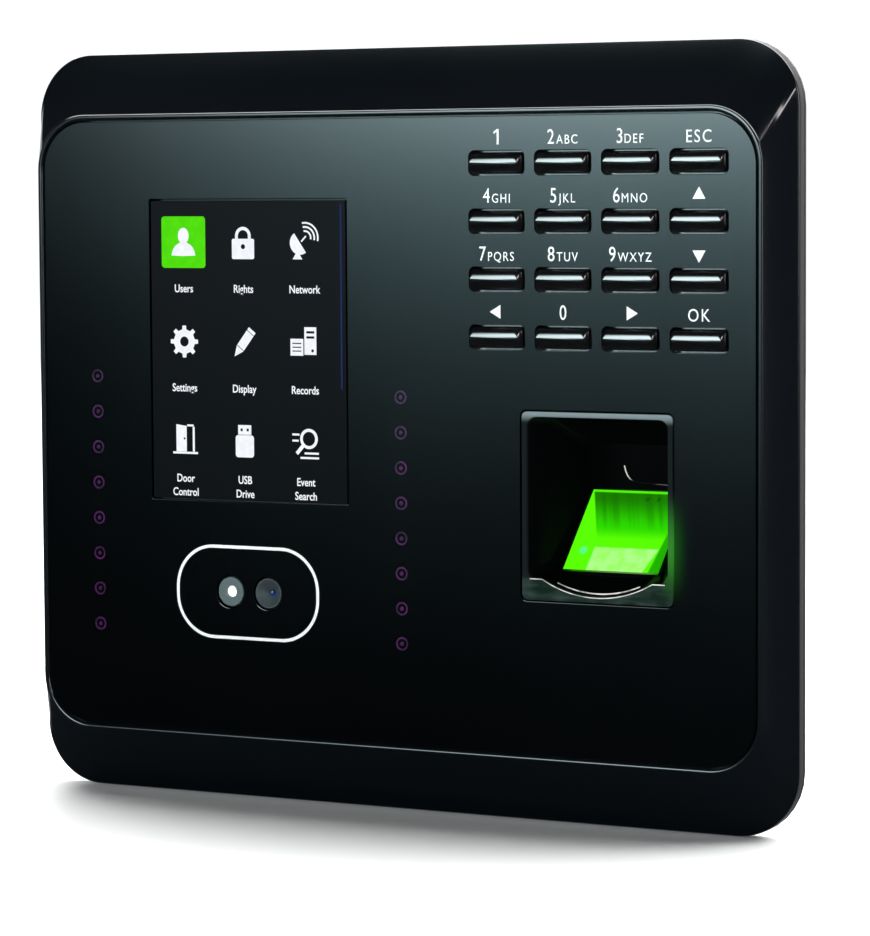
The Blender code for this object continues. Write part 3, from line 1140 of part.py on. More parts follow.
def switches():
    """Tamper plunger that the wall plate watches, and the reset button behind its pinhole."""
    half = TAMPER_SIZE / 2
    top = PORT_BACK + TAMPER_HEIGHT
    body = box(
        "tamper_switch", (TAMPER_X - half, PORT_BACK, TAMPER_Z - half),
        (TAMPER_X + half, top, TAMPER_Z + half), "connector_black")
    cut(body, rods(
        "tamper_bore", [(TAMPER_X, TAMPER_Z)], TAMPER_RADIUS + GAP, top - TAMPER_BORE_DEPTH,
        top + THROUGH, None, steps=12))
    stem_end = top - TAMPER_BORE_DEPTH + TAMPER_TRAVEL + 2 * GAP
    collar_back = HOUSING_INNER - TAMPER_COLLAR_GAP - HOUSING_BACK
    collar_front = collar_back - TAMPER_COLLAR_THICK
    length = HOUSING_BACK - stem_end
    plunger = [
        (0.0, 0.0),
        (0.7 * TAMPER_RADIUS, 0.0),
        (TAMPER_RADIUS, -0.3 * TAMPER_RADIUS),
        (TAMPER_RADIUS, collar_back),
        (TAMPER_CAP_RADIUS, collar_back),
        (TAMPER_CAP_RADIUS, collar_front),
        (TAMPER_RADIUS, collar_front),
        (TAMPER_RADIUS, -length),
        (0.0, -length),
    ]
    turned("tamper_button", plunger, (TAMPER_X, HOUSING_BACK, TAMPER_Z), "matte_black",
           TOWARDS_WALL, steps=12)

    half = RESET_SIZE / 2
    top = PORT_BACK + RESET_HEIGHT
    body = box(
        "reset_switch", (RESET_X - half, PORT_BACK, RESET_Z - half),
        (RESET_X + half, top, RESET_Z + half), "connector_black")
    cut(body, rods(
        "reset_bore", [(RESET_X, RESET_Z)], RESET_RADIUS + GAP, top - RESET_BORE_DEPTH,
        top + THROUGH, None, steps=12))
    foot = top - RESET_BORE_DEPTH + RESET_TRAVEL + 2 * GAP
    button = [
        (0.0, RESET_LENGTH),
        (RESET_RADIUS, RESET_LENGTH),
        (RESET_RADIUS, 0.0),
        (0.0, 0.0),
    ]
    turned("reset_button", button, (RESET_X, foot, RESET_Z), "matte_black", TOWARDS_WALL, steps=12)


def speaker():
    """Round loudspeaker with a dished cone, facing the slots in the rear cover."""
    front = HOUSING_INNER - GAP
    cone = 0.55 * SPEAKER_DEPTH
    profile = [
        (0.0, -cone * 0.7),
        (0.25 * SPEAKER_RADIUS, -cone),
        (0.85 * SPEAKER_RADIUS, -SPEAKER_ROLL),
        (0.9 * SPEAKER_RADIUS, 0.0),
        (SPEAKER_RADIUS, 0.0),
        (SPEAKER_RADIUS, -SPEAKER_FLANGE),
        (0.6 * SPEAKER_RADIUS, -SPEAKER_DEPTH),
        (0.0, -SPEAKER_DEPTH),
    ]
    turned("speaker", profile, (SPEAKER_X, front, SPEAKER_Z), "speaker_paper", TOWARDS_WALL)


# ---- Wall plate -------------------------------------------------------------------------------
def wall_plate():
    """Steel plate screwed to the wall, with four hooks and a tab for the lock screw."""
    half_x = BODY_WIDTH / 2 - PLATE_INSET_X
    top = from_top(PLATE_INSET_TOP)
    bottom = HOUSING_BOTTOM + PLATE_ABOVE_FOOT
    middle_z = (top + bottom) / 2
    outlines = [rounded_outline(half_x, (top - bottom) / 2, PLATE_CORNER, (0.0, middle_z), 4)]
    window_x, window_z = PLATE_WINDOW
    outlines.append(rounded_outline(
        window_x / 2, window_z / 2, PLATE_WINDOW_CORNER, (SPEAKER_X, SPEAKER_Z), 4))
    cable_low = bottom + PLATE_BAR
    outlines.append(rounded_outline(
        BAY_WIDTH / 2 - PLATE_BAR, CABLE_WINDOW_HEIGHT / 2, PLATE_WINDOW_CORNER,
        ((BAY_X0 + BAY_X1) / 2, cable_low + CABLE_WINDOW_HEIGHT / 2), 4))
    for z in (from_top(WALL_HOLE_FROM_TOP), from_bottom(WALL_HOLE_FROM_BOTTOM)):
        for side in (-1, 1):
            centre = (side * WALL_HOLE_SPACING_X / 2, z)
            outlines.append(round_outline(centre, WALL_HOLE_RADIUS, 12))
    sheet = plate("wall_plate", outlines, -PLATE_THICK, 0.0, "steel", WALL_SIDE)

    lip_front = HOUSING_INNER - GAP - HOOK_THICK
    for number, (x, foot) in enumerate(HOOKS, 1):
        profile = [
            (-PLATE_THICK / 2, foot),
            (-PLATE_THICK / 2, foot + HOOK_STUB),
            (lip_front + HOOK_THICK, foot + HOOK_STUB),
            (lip_front + HOOK_THICK, foot + HOOK_STUB + HOOK_LIP),
            (lip_front, foot + HOOK_STUB + HOOK_LIP),
            (lip_front, foot),
        ]
        fuse(sheet, plate(
            f"hook_{number}", [profile], x - HOOK_WIDTH / 2, x + HOOK_WIDTH / 2, None,
            plane="YZ"))
    tab_top = HOUSING_BOTTOM - GAP
    tab_low = tab_top - PLATE_THICK
    tab = [
        (0.0, bottom + PLATE_BAR),
        (0.0, tab_low),
        (-LOCK_TAB_DEPTH, tab_low),
        (-LOCK_TAB_DEPTH, tab_top),
        (-PLATE_THICK, tab_top),
        (-PLATE_THICK, bottom + PLATE_BAR),
    ]
    half_tab = LOCK_TAB_WIDTH / 2
    fuse(sheet, plate("lock_tab", [tab], LOCK_X - half_tab, LOCK_X + half_tab, None, plane="YZ"))
    cut(sheet, rods(
        "cut_tab_hole", [(LOCK_X, -LOCK_SCREW_FROM_WALL)], SCREW_RADIUS + GAP,
        tab_low - THROUGH, tab_top + THROUGH, None, "Z", 12))

    head_low = tab_low - GAP - SCREW_HEAD_HEIGHT
    reach = tab_low - GAP + LOCK_SCREW_LENGTH - head_low
    profile = [
        (0.0, reach),
        (SCREW_RADIUS / 2, reach),
        (SCREW_RADIUS, reach - SCREW_RADIUS / 2),
        (SCREW_RADIUS, SCREW_HEAD_HEIGHT),
        (SCREW_HEAD_RADIUS, SCREW_HEAD_HEIGHT),
        (SCREW_HEAD_RADIUS, 0.35 * SCREW_HEAD_HEIGHT),
        (0.7 * SCREW_HEAD_RADIUS, 0.0),
        (0.0, 0.0),
    ]
    turned("lock_screw", profile, (LOCK_X, -LOCK_SCREW_FROM_WALL, head_low), "zinc",
           parent=WALL_SIDE, steps=12)


front_cover()
face_panel()
display_module()
keypad()
emitter_strips()
cameras()
finger_sensor()
rear_cover()
case_screws()
main_board()
clock_cell()
connectors()
switches()
speaker()
wall_plate()
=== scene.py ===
"""Looks of a wall-mounted face and fingerprint terminal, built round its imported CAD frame.

The pieces follow one another as the terminal is put together: the plate on the wall, the rear
cover with its boards and sockets, the front cover, and then what is set into the face panel.
"""

import math

import bmesh
import bpy
from mathutils import Matrix, Vector


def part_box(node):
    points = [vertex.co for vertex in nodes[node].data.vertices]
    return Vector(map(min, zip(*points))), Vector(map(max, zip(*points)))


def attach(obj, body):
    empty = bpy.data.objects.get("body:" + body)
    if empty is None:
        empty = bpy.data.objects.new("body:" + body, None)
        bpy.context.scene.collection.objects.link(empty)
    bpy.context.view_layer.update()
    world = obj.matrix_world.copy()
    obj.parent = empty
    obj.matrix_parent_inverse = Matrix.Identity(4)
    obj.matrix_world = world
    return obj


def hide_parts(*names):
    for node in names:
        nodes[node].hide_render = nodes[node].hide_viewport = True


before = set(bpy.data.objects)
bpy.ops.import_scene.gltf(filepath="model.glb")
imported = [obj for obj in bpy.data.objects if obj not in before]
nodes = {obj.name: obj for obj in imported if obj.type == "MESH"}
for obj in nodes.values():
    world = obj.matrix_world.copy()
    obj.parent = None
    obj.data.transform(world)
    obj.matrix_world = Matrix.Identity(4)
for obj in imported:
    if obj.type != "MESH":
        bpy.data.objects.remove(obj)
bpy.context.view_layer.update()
MM = 0.001

# ---- Wall plate ---------------------------------------------------------------------------------
# A sheet-steel plate with four hooks and a folded tab for the lock screw, blanked and bent in one
# piece. It is zinc-plated, so it is bright and slightly mottled, with faint lines from rolling.
WALL_BODY = "wall_mount"
SQUARE_TO_AXIS = 0.99999         # the share of a normal along an axis that it lies across
MERGE_WITHIN = 0.002 * MM
LEVEL_WITHIN = math.radians(0.4)


def operator(operation, reflected=False):
    """A method that adds a Math node between a value and another value or number."""
    def calculate(value, other):
        terms = (other, value) if reflected else (value, other)
        return value.finish.node(
            "ShaderNodeMath", {"operation": operation}, dict(enumerate(terms)))
    return calculate


class Value:
    """A shader socket that takes part in sums like a number."""

    __add__ = operator("ADD")
    __radd__ = operator("ADD", True)
    __sub__ = operator("SUBTRACT")
    __rsub__ = operator("SUBTRACT", True)
    __mul__ = operator("MULTIPLY")
    __rmul__ = operator("MULTIPLY", True)
    __truediv__ = operator("DIVIDE")
    __rpow__ = operator("POWER", True)

    def __init__(self, finish, socket):
        self.finish = finish
        self.socket = socket


class Finish:
    """A material in the making. node() adds any node: its settings first, then its sockets."""

    def __init__(self, name, constants):
        self.material = bpy.data.materials.new(name)
        self.material.use_nodes = True
        self.tree = self.material.node_tree
        self.shader = self.tree.nodes["Principled BSDF"]
        self.feed(constants)

    def join(self, socket, value):
        if isinstance(value, Value):
            self.tree.links.new(value.socket, socket)
        elif socket.type == "RGBA":
            socket.default_value = (*value[:3], 1.0)
        else:
            socket.default_value = value

    def node(self, kind, settings=None, sockets=None, output=0):
        made = self.tree.nodes.new(kind)
        for name, value in (settings or {}).items():
            setattr(made, name, value)
        for name, value in (sockets or {}).items():
            self.join(made.inputs[name], value)
        return Value(self, made.outputs[output])

    def feed(self, values):
        for name, value in values.items():
            self.join(self.shader.inputs[name], value)
        return self

    def place(self):
        return self.node("ShaderNodeTexCoord", output="Object")

    def along(self, axis):
        """The place along one axis of the piece, in metres."""
        return self.node("ShaderNodeSeparateXYZ", None, {0: self.place()}, axis)

    def grain(self, scale, detail=3.0, stretch=(1.0, 1.0, 1.0)):
        """Noise of so many grains to the metre, drawn out along an axis where stretch is small."""
        mapped = self.node("ShaderNodeMapping", None, {"Vector": self.place(), "Scale": stretch})
        return self.node(
            "ShaderNodeTexNoise", None, {"Vector": mapped, "Scale": scale, "Detail": detail})

    def ramp(self, value, low, high, start=0.0, end=1.0):
        """The value moved from low..high to start..end, held at the ends and eased between."""
        return self.node(
            "ShaderNodeMapRange", {"interpolation_type": "SMOOTHSTEP"},
            {"Value": value, "From Min": low, "From Max": high, "To Min": start, "To Max": end})

    def blend(self, share, first, second):
        """One colour turning into another."""
        return self.node(
            "ShaderNodeMix", {"data_type": "RGBA"}, {0: share, 6: first, 7: second}, 2)

    def tones(self, share, base, glow=None):
        """Two tones of the colour, and of the glow if there is one, shared out by a value."""
        self.feed({"Base Color": self.blend(share, *base)})
        if glow:
            self.feed({"Emission Color": self.blend(share, *glow)})
        return self

    def relief(self, height, depth):
        """A bump of that depth in metres."""
        bump = self.node(
            "ShaderNodeBump", None, {"Height": height, "Strength": 1.0, "Distance": depth})
        return self.feed({"Normal": bump})


def choose(piece):
    """Select one piece alone and make it the active one."""
    bpy.ops.object.select_all(action="DESELECT")
    bpy.context.view_layer.objects.active = piece
    piece.select_set(True)


def open_for_editing(piece):
    choose(piece)
    bpy.ops.object.mode_set(mode="EDIT")
    bpy.ops.mesh.select_mode(type="VERT")


def close_editing(outward=True):
    if outward:
        bpy.ops.mesh.select_all(action="SELECT")
        bpy.ops.mesh.normals_make_consistent(inside=False)
    bpy.ops.object.mode_set(mode="OBJECT")


def new_piece(name, mesh=None):
    """A mesh at the origin, open for editing, so that its place is in its points."""
    piece = bpy.data.objects.new(name, mesh or bpy.data.meshes.new(name))
    bpy.context.scene.collection.objects.link(piece)
    open_for_editing(piece)
    return piece


def shade(piece, sharpest=35):
    choose(piece)
    bpy.ops.object.shade_smooth_by_angle(angle=math.radians(sharpest))


def apply_modifier(piece, kind, **settings):
    """One modifier, set and applied."""
    choose(piece)
    modifier = piece.modifiers.new(kind.lower(), kind)
    for name, value in settings.items():
        setattr(modifier, name, value)
    bpy.ops.object.modifier_apply(modifier=modifier.name)


def round_edges(piece, width, segments=2, sharpest=40):
    apply_modifier(
        piece, "BEVEL", width=width, segments=segments, limit_method="ANGLE",
        angle_limit=math.radians(sharpest), use_clamp_overlap=True, harden_normals=False)
    shade(piece)
    keep_flat(piece, "xyz")


def keep_flat(piece, across="y"):
    """Flat shading on the faces across these axes, so that a flat face reflects as one."""
    for face in piece.data.polygons:
        if any(abs(getattr(face.normal, axis)) > SQUARE_TO_AXIS for axis in across):
            face.use_smooth = False


def merged_copy(node, name):
    """A copy of a CAD piece with its triangles merged into whole faces."""
    piece = new_piece(name, nodes[node].data.copy())
    piece.data.materials.clear()
    bpy.ops.mesh.select_all(action="SELECT")
    bpy.ops.mesh.remove_doubles(threshold=MERGE_WITHIN)
    bpy.ops.mesh.dissolve_limited(angle_limit=LEVEL_WITHIN)
    close_editing(outward=False)
    return piece


def dress(piece, finish, body=None, stands_for=()):
    """Give a piece its finish; given a body, the piece is hung on it, and the CAD nodes it stands
    for are hidden.
    """
    piece.data.materials.clear()
    piece.data.materials.append(finish.material)
    if body:
        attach(piece, body)
    if stands_for:
        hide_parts(*stands_for)
    return piece


def around(colour, low, high):
    """A darker and a lighter tone of a colour."""
    return [min(1.0, low * c) for c in colour], [min(1.0, high * c) for c in colour]


def plated(name, colour=(0.56, 0.57, 0.58), roughness=0.34):
    """Zinc plate: bright metal with a cloudy mottle and drawn lines."""
    finish = Finish(name, {"Metallic": 1.0})
    cloud = finish.grain(260.0)
    lines = finish.grain(900.0, 2.0, (0.05, 1.0, 1.0))
    finish.tones(cloud, around(colour, 0.82, 1.12))
    finish.feed({"Roughness": roughness + 0.16 * (lines - 0.5)})
    return finish.relief(lines, 0.02 * MM)


sheet_zinc = plated("sheet_zinc")
plate_sheet = merged_copy("wall_plate", "plate_sheet")
round_edges(plate_sheet, 0.25 * MM)
dress(plate_sheet, sheet_zinc, WALL_BODY, ["wall_plate"])
dress(nodes["lock_screw"], plated("screw_zinc", (0.66, 0.66, 0.64), 0.28))

# ---- Rear cover ---------------------------------------------------------------------------------
# The back shell is moulded in black plastic with a fine sparked texture, so it is matt. It carries
# the boards, and its bay leaves the sockets open to the wall.
TERMINAL_BODY = "terminal"


def moulded(name, colour, roughness, texture, texture_depth):
    """Moulded plastic: a fine texture from the tool, and slightly uneven gloss."""
    finish = Finish(name, {"Specular IOR Level": 0.5})
    fine = finish.grain(texture, 4.0)
    wide = finish.grain(45.0, 2.0)
    finish.tones(wide, around(colour, 0.85, 1.15))
    finish.feed({"Roughness": roughness + 0.06 * (wide - 0.5)})
    return finish.relief(fine, texture_depth)


sparked_black = moulded("sparked_black", (0.016, 0.017, 0.018), 0.52, 3800.0, 0.03 * MM)
rear_shell = merged_copy("rear_cover", "rear_shell")
round_edges(rear_shell, 0.3 * MM)
dress(rear_shell, sparked_black, TERMINAL_BODY, ["rear_cover"])
case_screw_zinc = plated("case_screw_zinc", (0.6, 0.6, 0.59), 0.3)
for number in range(1, 5):
    dress(nodes[f"case_screw_{number}"], case_screw_zinc)

# ---- Front cover --------------------------------------------------------------------------------
# The front shell is one moulding in high-gloss black plastic: rim, sloped skirt, and a raised bead
# round the face panel. Behind the panel it has a wall with openings for what is set in the face.
RIM_HALF = (83.75 * MM, 74.4 * MM)
RIM_CORNER = 12.5 * MM
BEAD_HALF = (79.6 * MM, 62.15 * MM)
BEAD_CORNER = 11.0 * MM
BEAD_WIDTH = 1.15 * MM
BEAD_CREST = -31.0 * MM
BEAD_ROUND = 0.42 * MM
PANEL_FRONT = -30.6 * MM
PANEL_BACK = -28.6 * MM
PANEL_SEAT = -28.3 * MM
FACE_INNER = -26.7 * MM
RIM_FRONT = -23.6 * MM
FRONT_EDGE = -21.55 * MM
RIM_EDGE = 0.45 * MM
COVER_WALL = 1.6 * MM
GAP = 0.3 * MM


def reshape(before, after, centre):
    """Carry the selected outline to its next size and level, one rounded corner at a time."""
    mesh = bmesh.from_edit_mesh(bpy.context.object.data)
    ring = [point for point in mesh.verts if point.select]
    for side_x in (-1, 1):
        for side_z in (-1, 1):
            bpy.ops.mesh.select_all(action="DESELECT")
            for point in ring:
                across = (point.co.x - centre[0]) * side_x
                up = (point.co.z - centre[1]) * side_z
                point.select = across > 0 and up > 0
            mesh.select_flush(True)
            middle = Vector((
                centre[0] + side_x * (before[0] - before[2]), before[3],
                centre[1] + side_z * (before[1] - before[2])))
            target = Vector((
                centre[0] + side_x * (after[0] - after[2]), after[3],
                centre[1] + side_z * (after[1] - after[2])))
            share = after[2] / before[2]
            bpy.ops.transform.resize(value=(share, 1.0, share), center_override=middle)
            bpy.ops.transform.translate(value=target - middle)
    bpy.ops.mesh.select_all(action="DESELECT")
    for point in ring:
        point.select = True
    mesh.select_flush(True)


def skin(name, outlines, centre=(0.0, 0.0), segments=20):
    """A solid through rounded rectangles of (half width, half height, corner radius, level)."""
    piece = new_piece(name)
    half_x, half_z, radius, level = outlines[0]
    middle = (centre[0], level, centre[1])
    bpy.ops.mesh.primitive_plane_add(
        size=2.0, location=middle, rotation=(math.radians(90), 0.0, 0.0))
    bpy.ops.transform.resize(value=(half_x, 1.0, half_z), center_override=middle)
    bpy.ops.mesh.bevel(offset=radius, segments=segments, affect="VERTICES")
    bpy.ops.mesh.select_all(action="SELECT")
    for before, after in zip(outlines, outlines[1:]):
        bpy.ops.mesh.extrude_region_move()
        reshape(before, after, centre)
    close_editing()
    return piece


def cut_out(piece, *cutters):
    """Take the cutters' shapes out of a piece."""
    for cutter in cutters:
        apply_modifier(piece, "BOOLEAN", operation="DIFFERENCE", solver="EXACT", object=cutter)
        bpy.data.objects.remove(cutter, do_unlink=True)


def block(name, low, high):
    """A squared cutter or blank between two corners."""
    piece = new_piece(name)
    middle = (Vector(low) + Vector(high)) / 2
    bpy.ops.mesh.primitive_cube_add(size=1.0, location=middle)
    bpy.ops.transform.resize(value=Vector(high) - Vector(low), center_override=middle)
    close_editing()
    return piece


def bead_outline(inset, level):
    return (BEAD_HALF[0] - inset, BEAD_HALF[1] - inset, BEAD_CORNER - inset, level)


def rim_outline(inset, level):
    return (RIM_HALF[0] - inset, RIM_HALF[1] - inset, RIM_CORNER - inset, level)


def quarter_round(steps=5):
    """1 minus the cosine and 1 minus the sine of each step through a right angle."""
    turns = [math.radians(90) * step / steps for step in range(steps + 1)]
    return [(1 - math.cos(turn), 1 - math.sin(turn)) for turn in turns]


cover_outlines = [bead_outline(BEAD_WIDTH, PANEL_SEAT)]
for inward, below in quarter_round():
    cover_outlines.append(bead_outline(
        BEAD_WIDTH - BEAD_ROUND * inward, BEAD_CREST + BEAD_ROUND * below))
for below, inward in quarter_round():
    cover_outlines.append(bead_outline(BEAD_ROUND * inward, BEAD_CREST + BEAD_ROUND * below))
for below, inward in quarter_round():
    cover_outlines.append(rim_outline(RIM_EDGE * inward, RIM_FRONT + RIM_EDGE * below))
cover_outlines.append(rim_outline(0.0, FRONT_EDGE))
cover_outlines.append(rim_outline(COVER_WALL, FRONT_EDGE))
cover_outlines.append(rim_outline(COVER_WALL, RIM_FRONT + COVER_WALL / 2))
cover_outlines.append(bead_outline(COVER_WALL, FACE_INNER))
front_shell = skin("front_shell", cover_outlines)

DISPLAY_CENTRE = (-30.6 * MM, 15.3 * MM)
DISPLAY_HALF = (22.3 * MM, 29.6 * MM)
KEY_COLUMNS = [24.7 * MM, 38.7 * MM, 52.7 * MM, 66.7 * MM]
KEY_ROWS = [51.8 * MM, 40.8 * MM, 29.8 * MM, 18.8 * MM]
KEY_HALF = (5.9 * MM, 2.35 * MM)
FINGER_CENTRE = (45.55 * MM, -13.05 * MM)
FINGER_HALF = (15.7 * MM, 17.9 * MM)
CAMERA_CENTRES = [(-35.2 * MM, -32.5 * MM), (-26.6 * MM, -32.5 * MM)]
CAMERA_RADIUS = 3.0 * MM
DISPLAY_OPENING_HALF = (21.7 * MM, 29.0 * MM)
KEYPAD_MARGIN = 1.6 * MM         # opening past the outer keys
CAMERA_OPENING = ((-30.9 * MM, -32.5 * MM), (7.6 * MM, 3.3 * MM))
THROUGH = 2.0 * MM               # a cutter's reach past what it cuts


def wall_opening(name, centre, half):
    return block(
        name, (centre[0] - half[0], PANEL_SEAT - THROUGH, centre[1] - half[1]),
        (centre[0] + half[0], FACE_INNER + THROUGH, centre[1] + half[1]))


keypad_centre = (
    (KEY_COLUMNS[0] + KEY_COLUMNS[-1]) / 2, (KEY_ROWS[0] + KEY_ROWS[-1]) / 2)
keypad_half = (
    KEY_COLUMNS[-1] - keypad_centre[0] + KEY_HALF[0] + KEYPAD_MARGIN,
    KEY_ROWS[0] - keypad_centre[1] + KEY_HALF[1] + KEYPAD_MARGIN)
cut_out(
    front_shell,
    wall_opening("opening_display", DISPLAY_CENTRE, DISPLAY_OPENING_HALF),
    wall_opening("opening_keypad", keypad_centre, keypad_half),
    wall_opening(
        "opening_finger", FINGER_CENTRE, (FINGER_HALF[0] + GAP, FINGER_HALF[1] + GAP)),
    wall_opening("opening_cameras", *CAMERA_OPENING))
shade(front_shell)


def polished(name, colour, roughness, specular=0.5):
    """High-gloss plastic: faint moulding flow, a little haze and fine rubbing marks."""
    finish = Finish(name, {"Specular IOR Level": specular})
    haze = finish.grain(18.0, 2.0)
    rubbing = finish.grain(2600.0, 2.0, (1.0, 1.0, 0.06))
    finish.tones(haze, around(colour, 0.9, 1.12))
    finish.feed({"Roughness": roughness + 0.05 * (haze - 0.5) + 0.03 * (rubbing - 0.5)})
    return finish.relief(haze, 0.01 * MM)


gloss_black = polished("gloss_black", (0.0020, 0.0028, 0.0038), 0.16)
# The gloss black also glows faintly in dark blue-grey, unevenly with the haze: painted fill light
# that lifts its darkest parts.
gloss_black.feed({
    "Emission Strength": 1.0,
    "Emission Color": gloss_black.blend(
        gloss_black.grain(18.0, 2.0), (0.0006, 0.0013, 0.0019), (0.0008, 0.0017, 0.0024))})
dress(front_shell, gloss_black, TERMINAL_BODY, ["front_cover"])

# ---- Face panel ---------------------------------------------------------------------------------
# A flat sheet of smoked acrylic, cut to fit inside the bead and glued to the front cover. Its
# slots and openings are cut through, and their edges are broken so that they catch the light.
PANEL_HALF = (78.15 * MM, 60.7 * MM)
PANEL_CORNER = 9.55 * MM
SLOT_CORNER = 1.2 * MM
FINGER_CORNER = 1.3 * MM
EDGE_BREAK = 0.12 * MM
SLOT_REACH = (7.0 * MM, 3.0 * MM)    # from a slot's middle, short of the next slot
LENS_HOLE_DEPTH = 6.0 * MM

panel_sheet = skin("panel_sheet", [
    (*PANEL_HALF, PANEL_CORNER, PANEL_FRONT),
    (*PANEL_HALF, PANEL_CORNER, PANEL_BACK),
])


def through_cutter(name, centre, half, corner, segments=6):
    return skin(name, [
        (*half, corner, PANEL_FRONT - THROUGH),
        (*half, corner, PANEL_BACK + THROUGH),
    ], centre, segments)


key_slots = through_cutter("cut_slots", (KEY_COLUMNS[0], KEY_ROWS[0]), KEY_HALF, SLOT_CORNER)
open_for_editing(key_slots)
for z in KEY_ROWS:
    for x in KEY_COLUMNS:
        if (x, z) != (KEY_COLUMNS[0], KEY_ROWS[0]):
            bpy.ops.mesh.select_all(action="DESELECT")
            mesh = bmesh.from_edit_mesh(key_slots.data)
            mesh.verts.ensure_lookup_table()
            for point in mesh.verts:
                point.select = (
                    abs(point.co.x - KEY_COLUMNS[0]) < SLOT_REACH[0]
                    and abs(point.co.z - KEY_ROWS[0]) < SLOT_REACH[1])
            mesh.select_flush(True)
            bpy.ops.mesh.duplicate_move(TRANSFORM_OT_translate={
                "value": (x - KEY_COLUMNS[0], 0.0, z - KEY_ROWS[0])})
close_editing()
cut_out(
    panel_sheet, key_slots,
    through_cutter(
        "cut_display", DISPLAY_CENTRE, (DISPLAY_HALF[0] + GAP, DISPLAY_HALF[1] + GAP), GAP, 3),
    through_cutter(
        "cut_finger", FINGER_CENTRE, (FINGER_HALF[0] + GAP, FINGER_HALF[1] + GAP),
        FINGER_CORNER))
lens_holes = new_piece("cut_lenses")
for x, z in CAMERA_CENTRES:
    bpy.ops.mesh.primitive_cylinder_add(
        vertices=48, radius=CAMERA_RADIUS + GAP, depth=LENS_HOLE_DEPTH,
        location=(x, PANEL_FRONT, z), rotation=(math.radians(90), 0.0, 0.0))
close_editing()
cut_out(panel_sheet, lens_holes)
round_edges(panel_sheet, EDGE_BREAK, 2, 60)
keep_flat(panel_sheet)
panel_smoke = polished("panel_smoke", (0.0007, 0.0012, 0.0017), 0.11)
dress(panel_sheet, panel_smoke, TERMINAL_BODY, ["face_panel"])

# ---- Printed legends ----------------------------------------------------------------------------
# The figures, telephone letters and arrows over the keys are white ink on the panel, and so is the
# line round the cameras. The ink stands a hair proud of the panel.
INK_THICK = 0.03 * MM
DIGIT_HEIGHT = 2.9 * MM
LETTER_HEIGHT = 1.8 * MM
WORD_HEIGHT = 2.45 * MM          # a legend without a figure
LEGEND_RISE = 1.15 * MM          # baseline over the slot's upper edge
CAPITAL_SHARE = 0.729            # a capital's height in this face, as a share of its size


def flat_to_piece(name, curve, place):
    """A text or flat curve made a mesh, stood upright and put in its place."""
    drawn = bpy.data.objects.new(name, curve)
    bpy.context.scene.collection.objects.link(drawn)
    choose(drawn)
    bpy.ops.object.convert(target="MESH")
    piece = bpy.context.view_layer.objects.active
    upright = Matrix.Rotation(math.radians(90), 4, "X")
    piece.data.transform(Matrix.Translation(place) @ upright)
    return piece


def lettering(words, height, place, squeeze, spacing=1.08, weight=0.0):
    """Raised printed words, their baseline's middle at the given place."""
    curve = bpy.data.curves.new("words", "FONT")
    curve.body = words
    curve.size = height / CAPITAL_SHARE
    curve.align_x = "CENTER"
    curve.space_character = spacing
    curve.extrude = INK_THICK / 2
    curve.offset = weight
    curve.resolution_u = 4
    piece = flat_to_piece("words", curve, (0.0, 0.0, 0.0))
    piece.data.transform(Matrix.Diagonal((squeeze, 1.0, 1.0, 1.0)))
    piece.data.transform(Matrix.Translation(place))
    return piece


def flat_shape(outlines, place, thick=INK_THICK):
    """A flat printed shape from its outlines; an outline inside another is a hole."""
    curve = bpy.data.curves.new("shape", "CURVE")
    curve.dimensions = "2D"
    curve.fill_mode = "BOTH"
    curve.extrude = thick / 2
    for outline in outlines:
        spline = curve.splines.new("POLY")
        spline.points.add(len(outline) - 1)
        for point, (x, y) in zip(spline.points, outline):
            point.co = (x, y, 0.0, 1.0)
        spline.use_cyclic_u = True
    return flat_to_piece("shape", curve, place)


def joined(name, pieces):
    """Several meshes made one."""
    bpy.ops.object.select_all(action="DESELECT")
    for piece in pieces:
        piece.select_set(True)
    bpy.context.view_layer.objects.active = pieces[0]
    bpy.ops.object.join()
    piece = bpy.context.view_layer.objects.active
    piece.name = name
    piece.data.name = name
    open_for_editing(piece)
    bpy.ops.mesh.select_all(action="SELECT")
    bpy.ops.mesh.remove_doubles(threshold=0.0005 * MM)
    close_editing()
    return piece


LEGENDS = (
    (("1", ""), ("2", "ABC"), ("3", "DEF"), ("", "ESC")),
    (("4", "GHI"), ("5", "JKL"), ("6", "MNO"), ("", "up")),
    (("7", "PQRS"), ("8", "TUV"), ("9", "WXYZ"), ("", "down")),
    (("", "left"), ("0", ""), ("", "right"), ("", "OK")),
)
ARROW_TURNS = {"up": 0, "left": 90, "down": 180, "right": 270}
ARROW_RISE = 1.35 * MM           # an arrow's middle over the baseline
ARROW_RADIUS = 1.12 * ARROW_RISE
ONE_STROKE = 0.40 * MM
ONE_FLAG = 0.68 * MM             # how far the flag of the figure one reaches out
DIGIT_GAP = 0.45 * MM
ink_front = PANEL_FRONT - INK_THICK / 2


def width_of(piece):
    across = [point.co.x for point in piece.data.vertices]
    return max(across) - min(across), (max(across) + min(across)) / 2


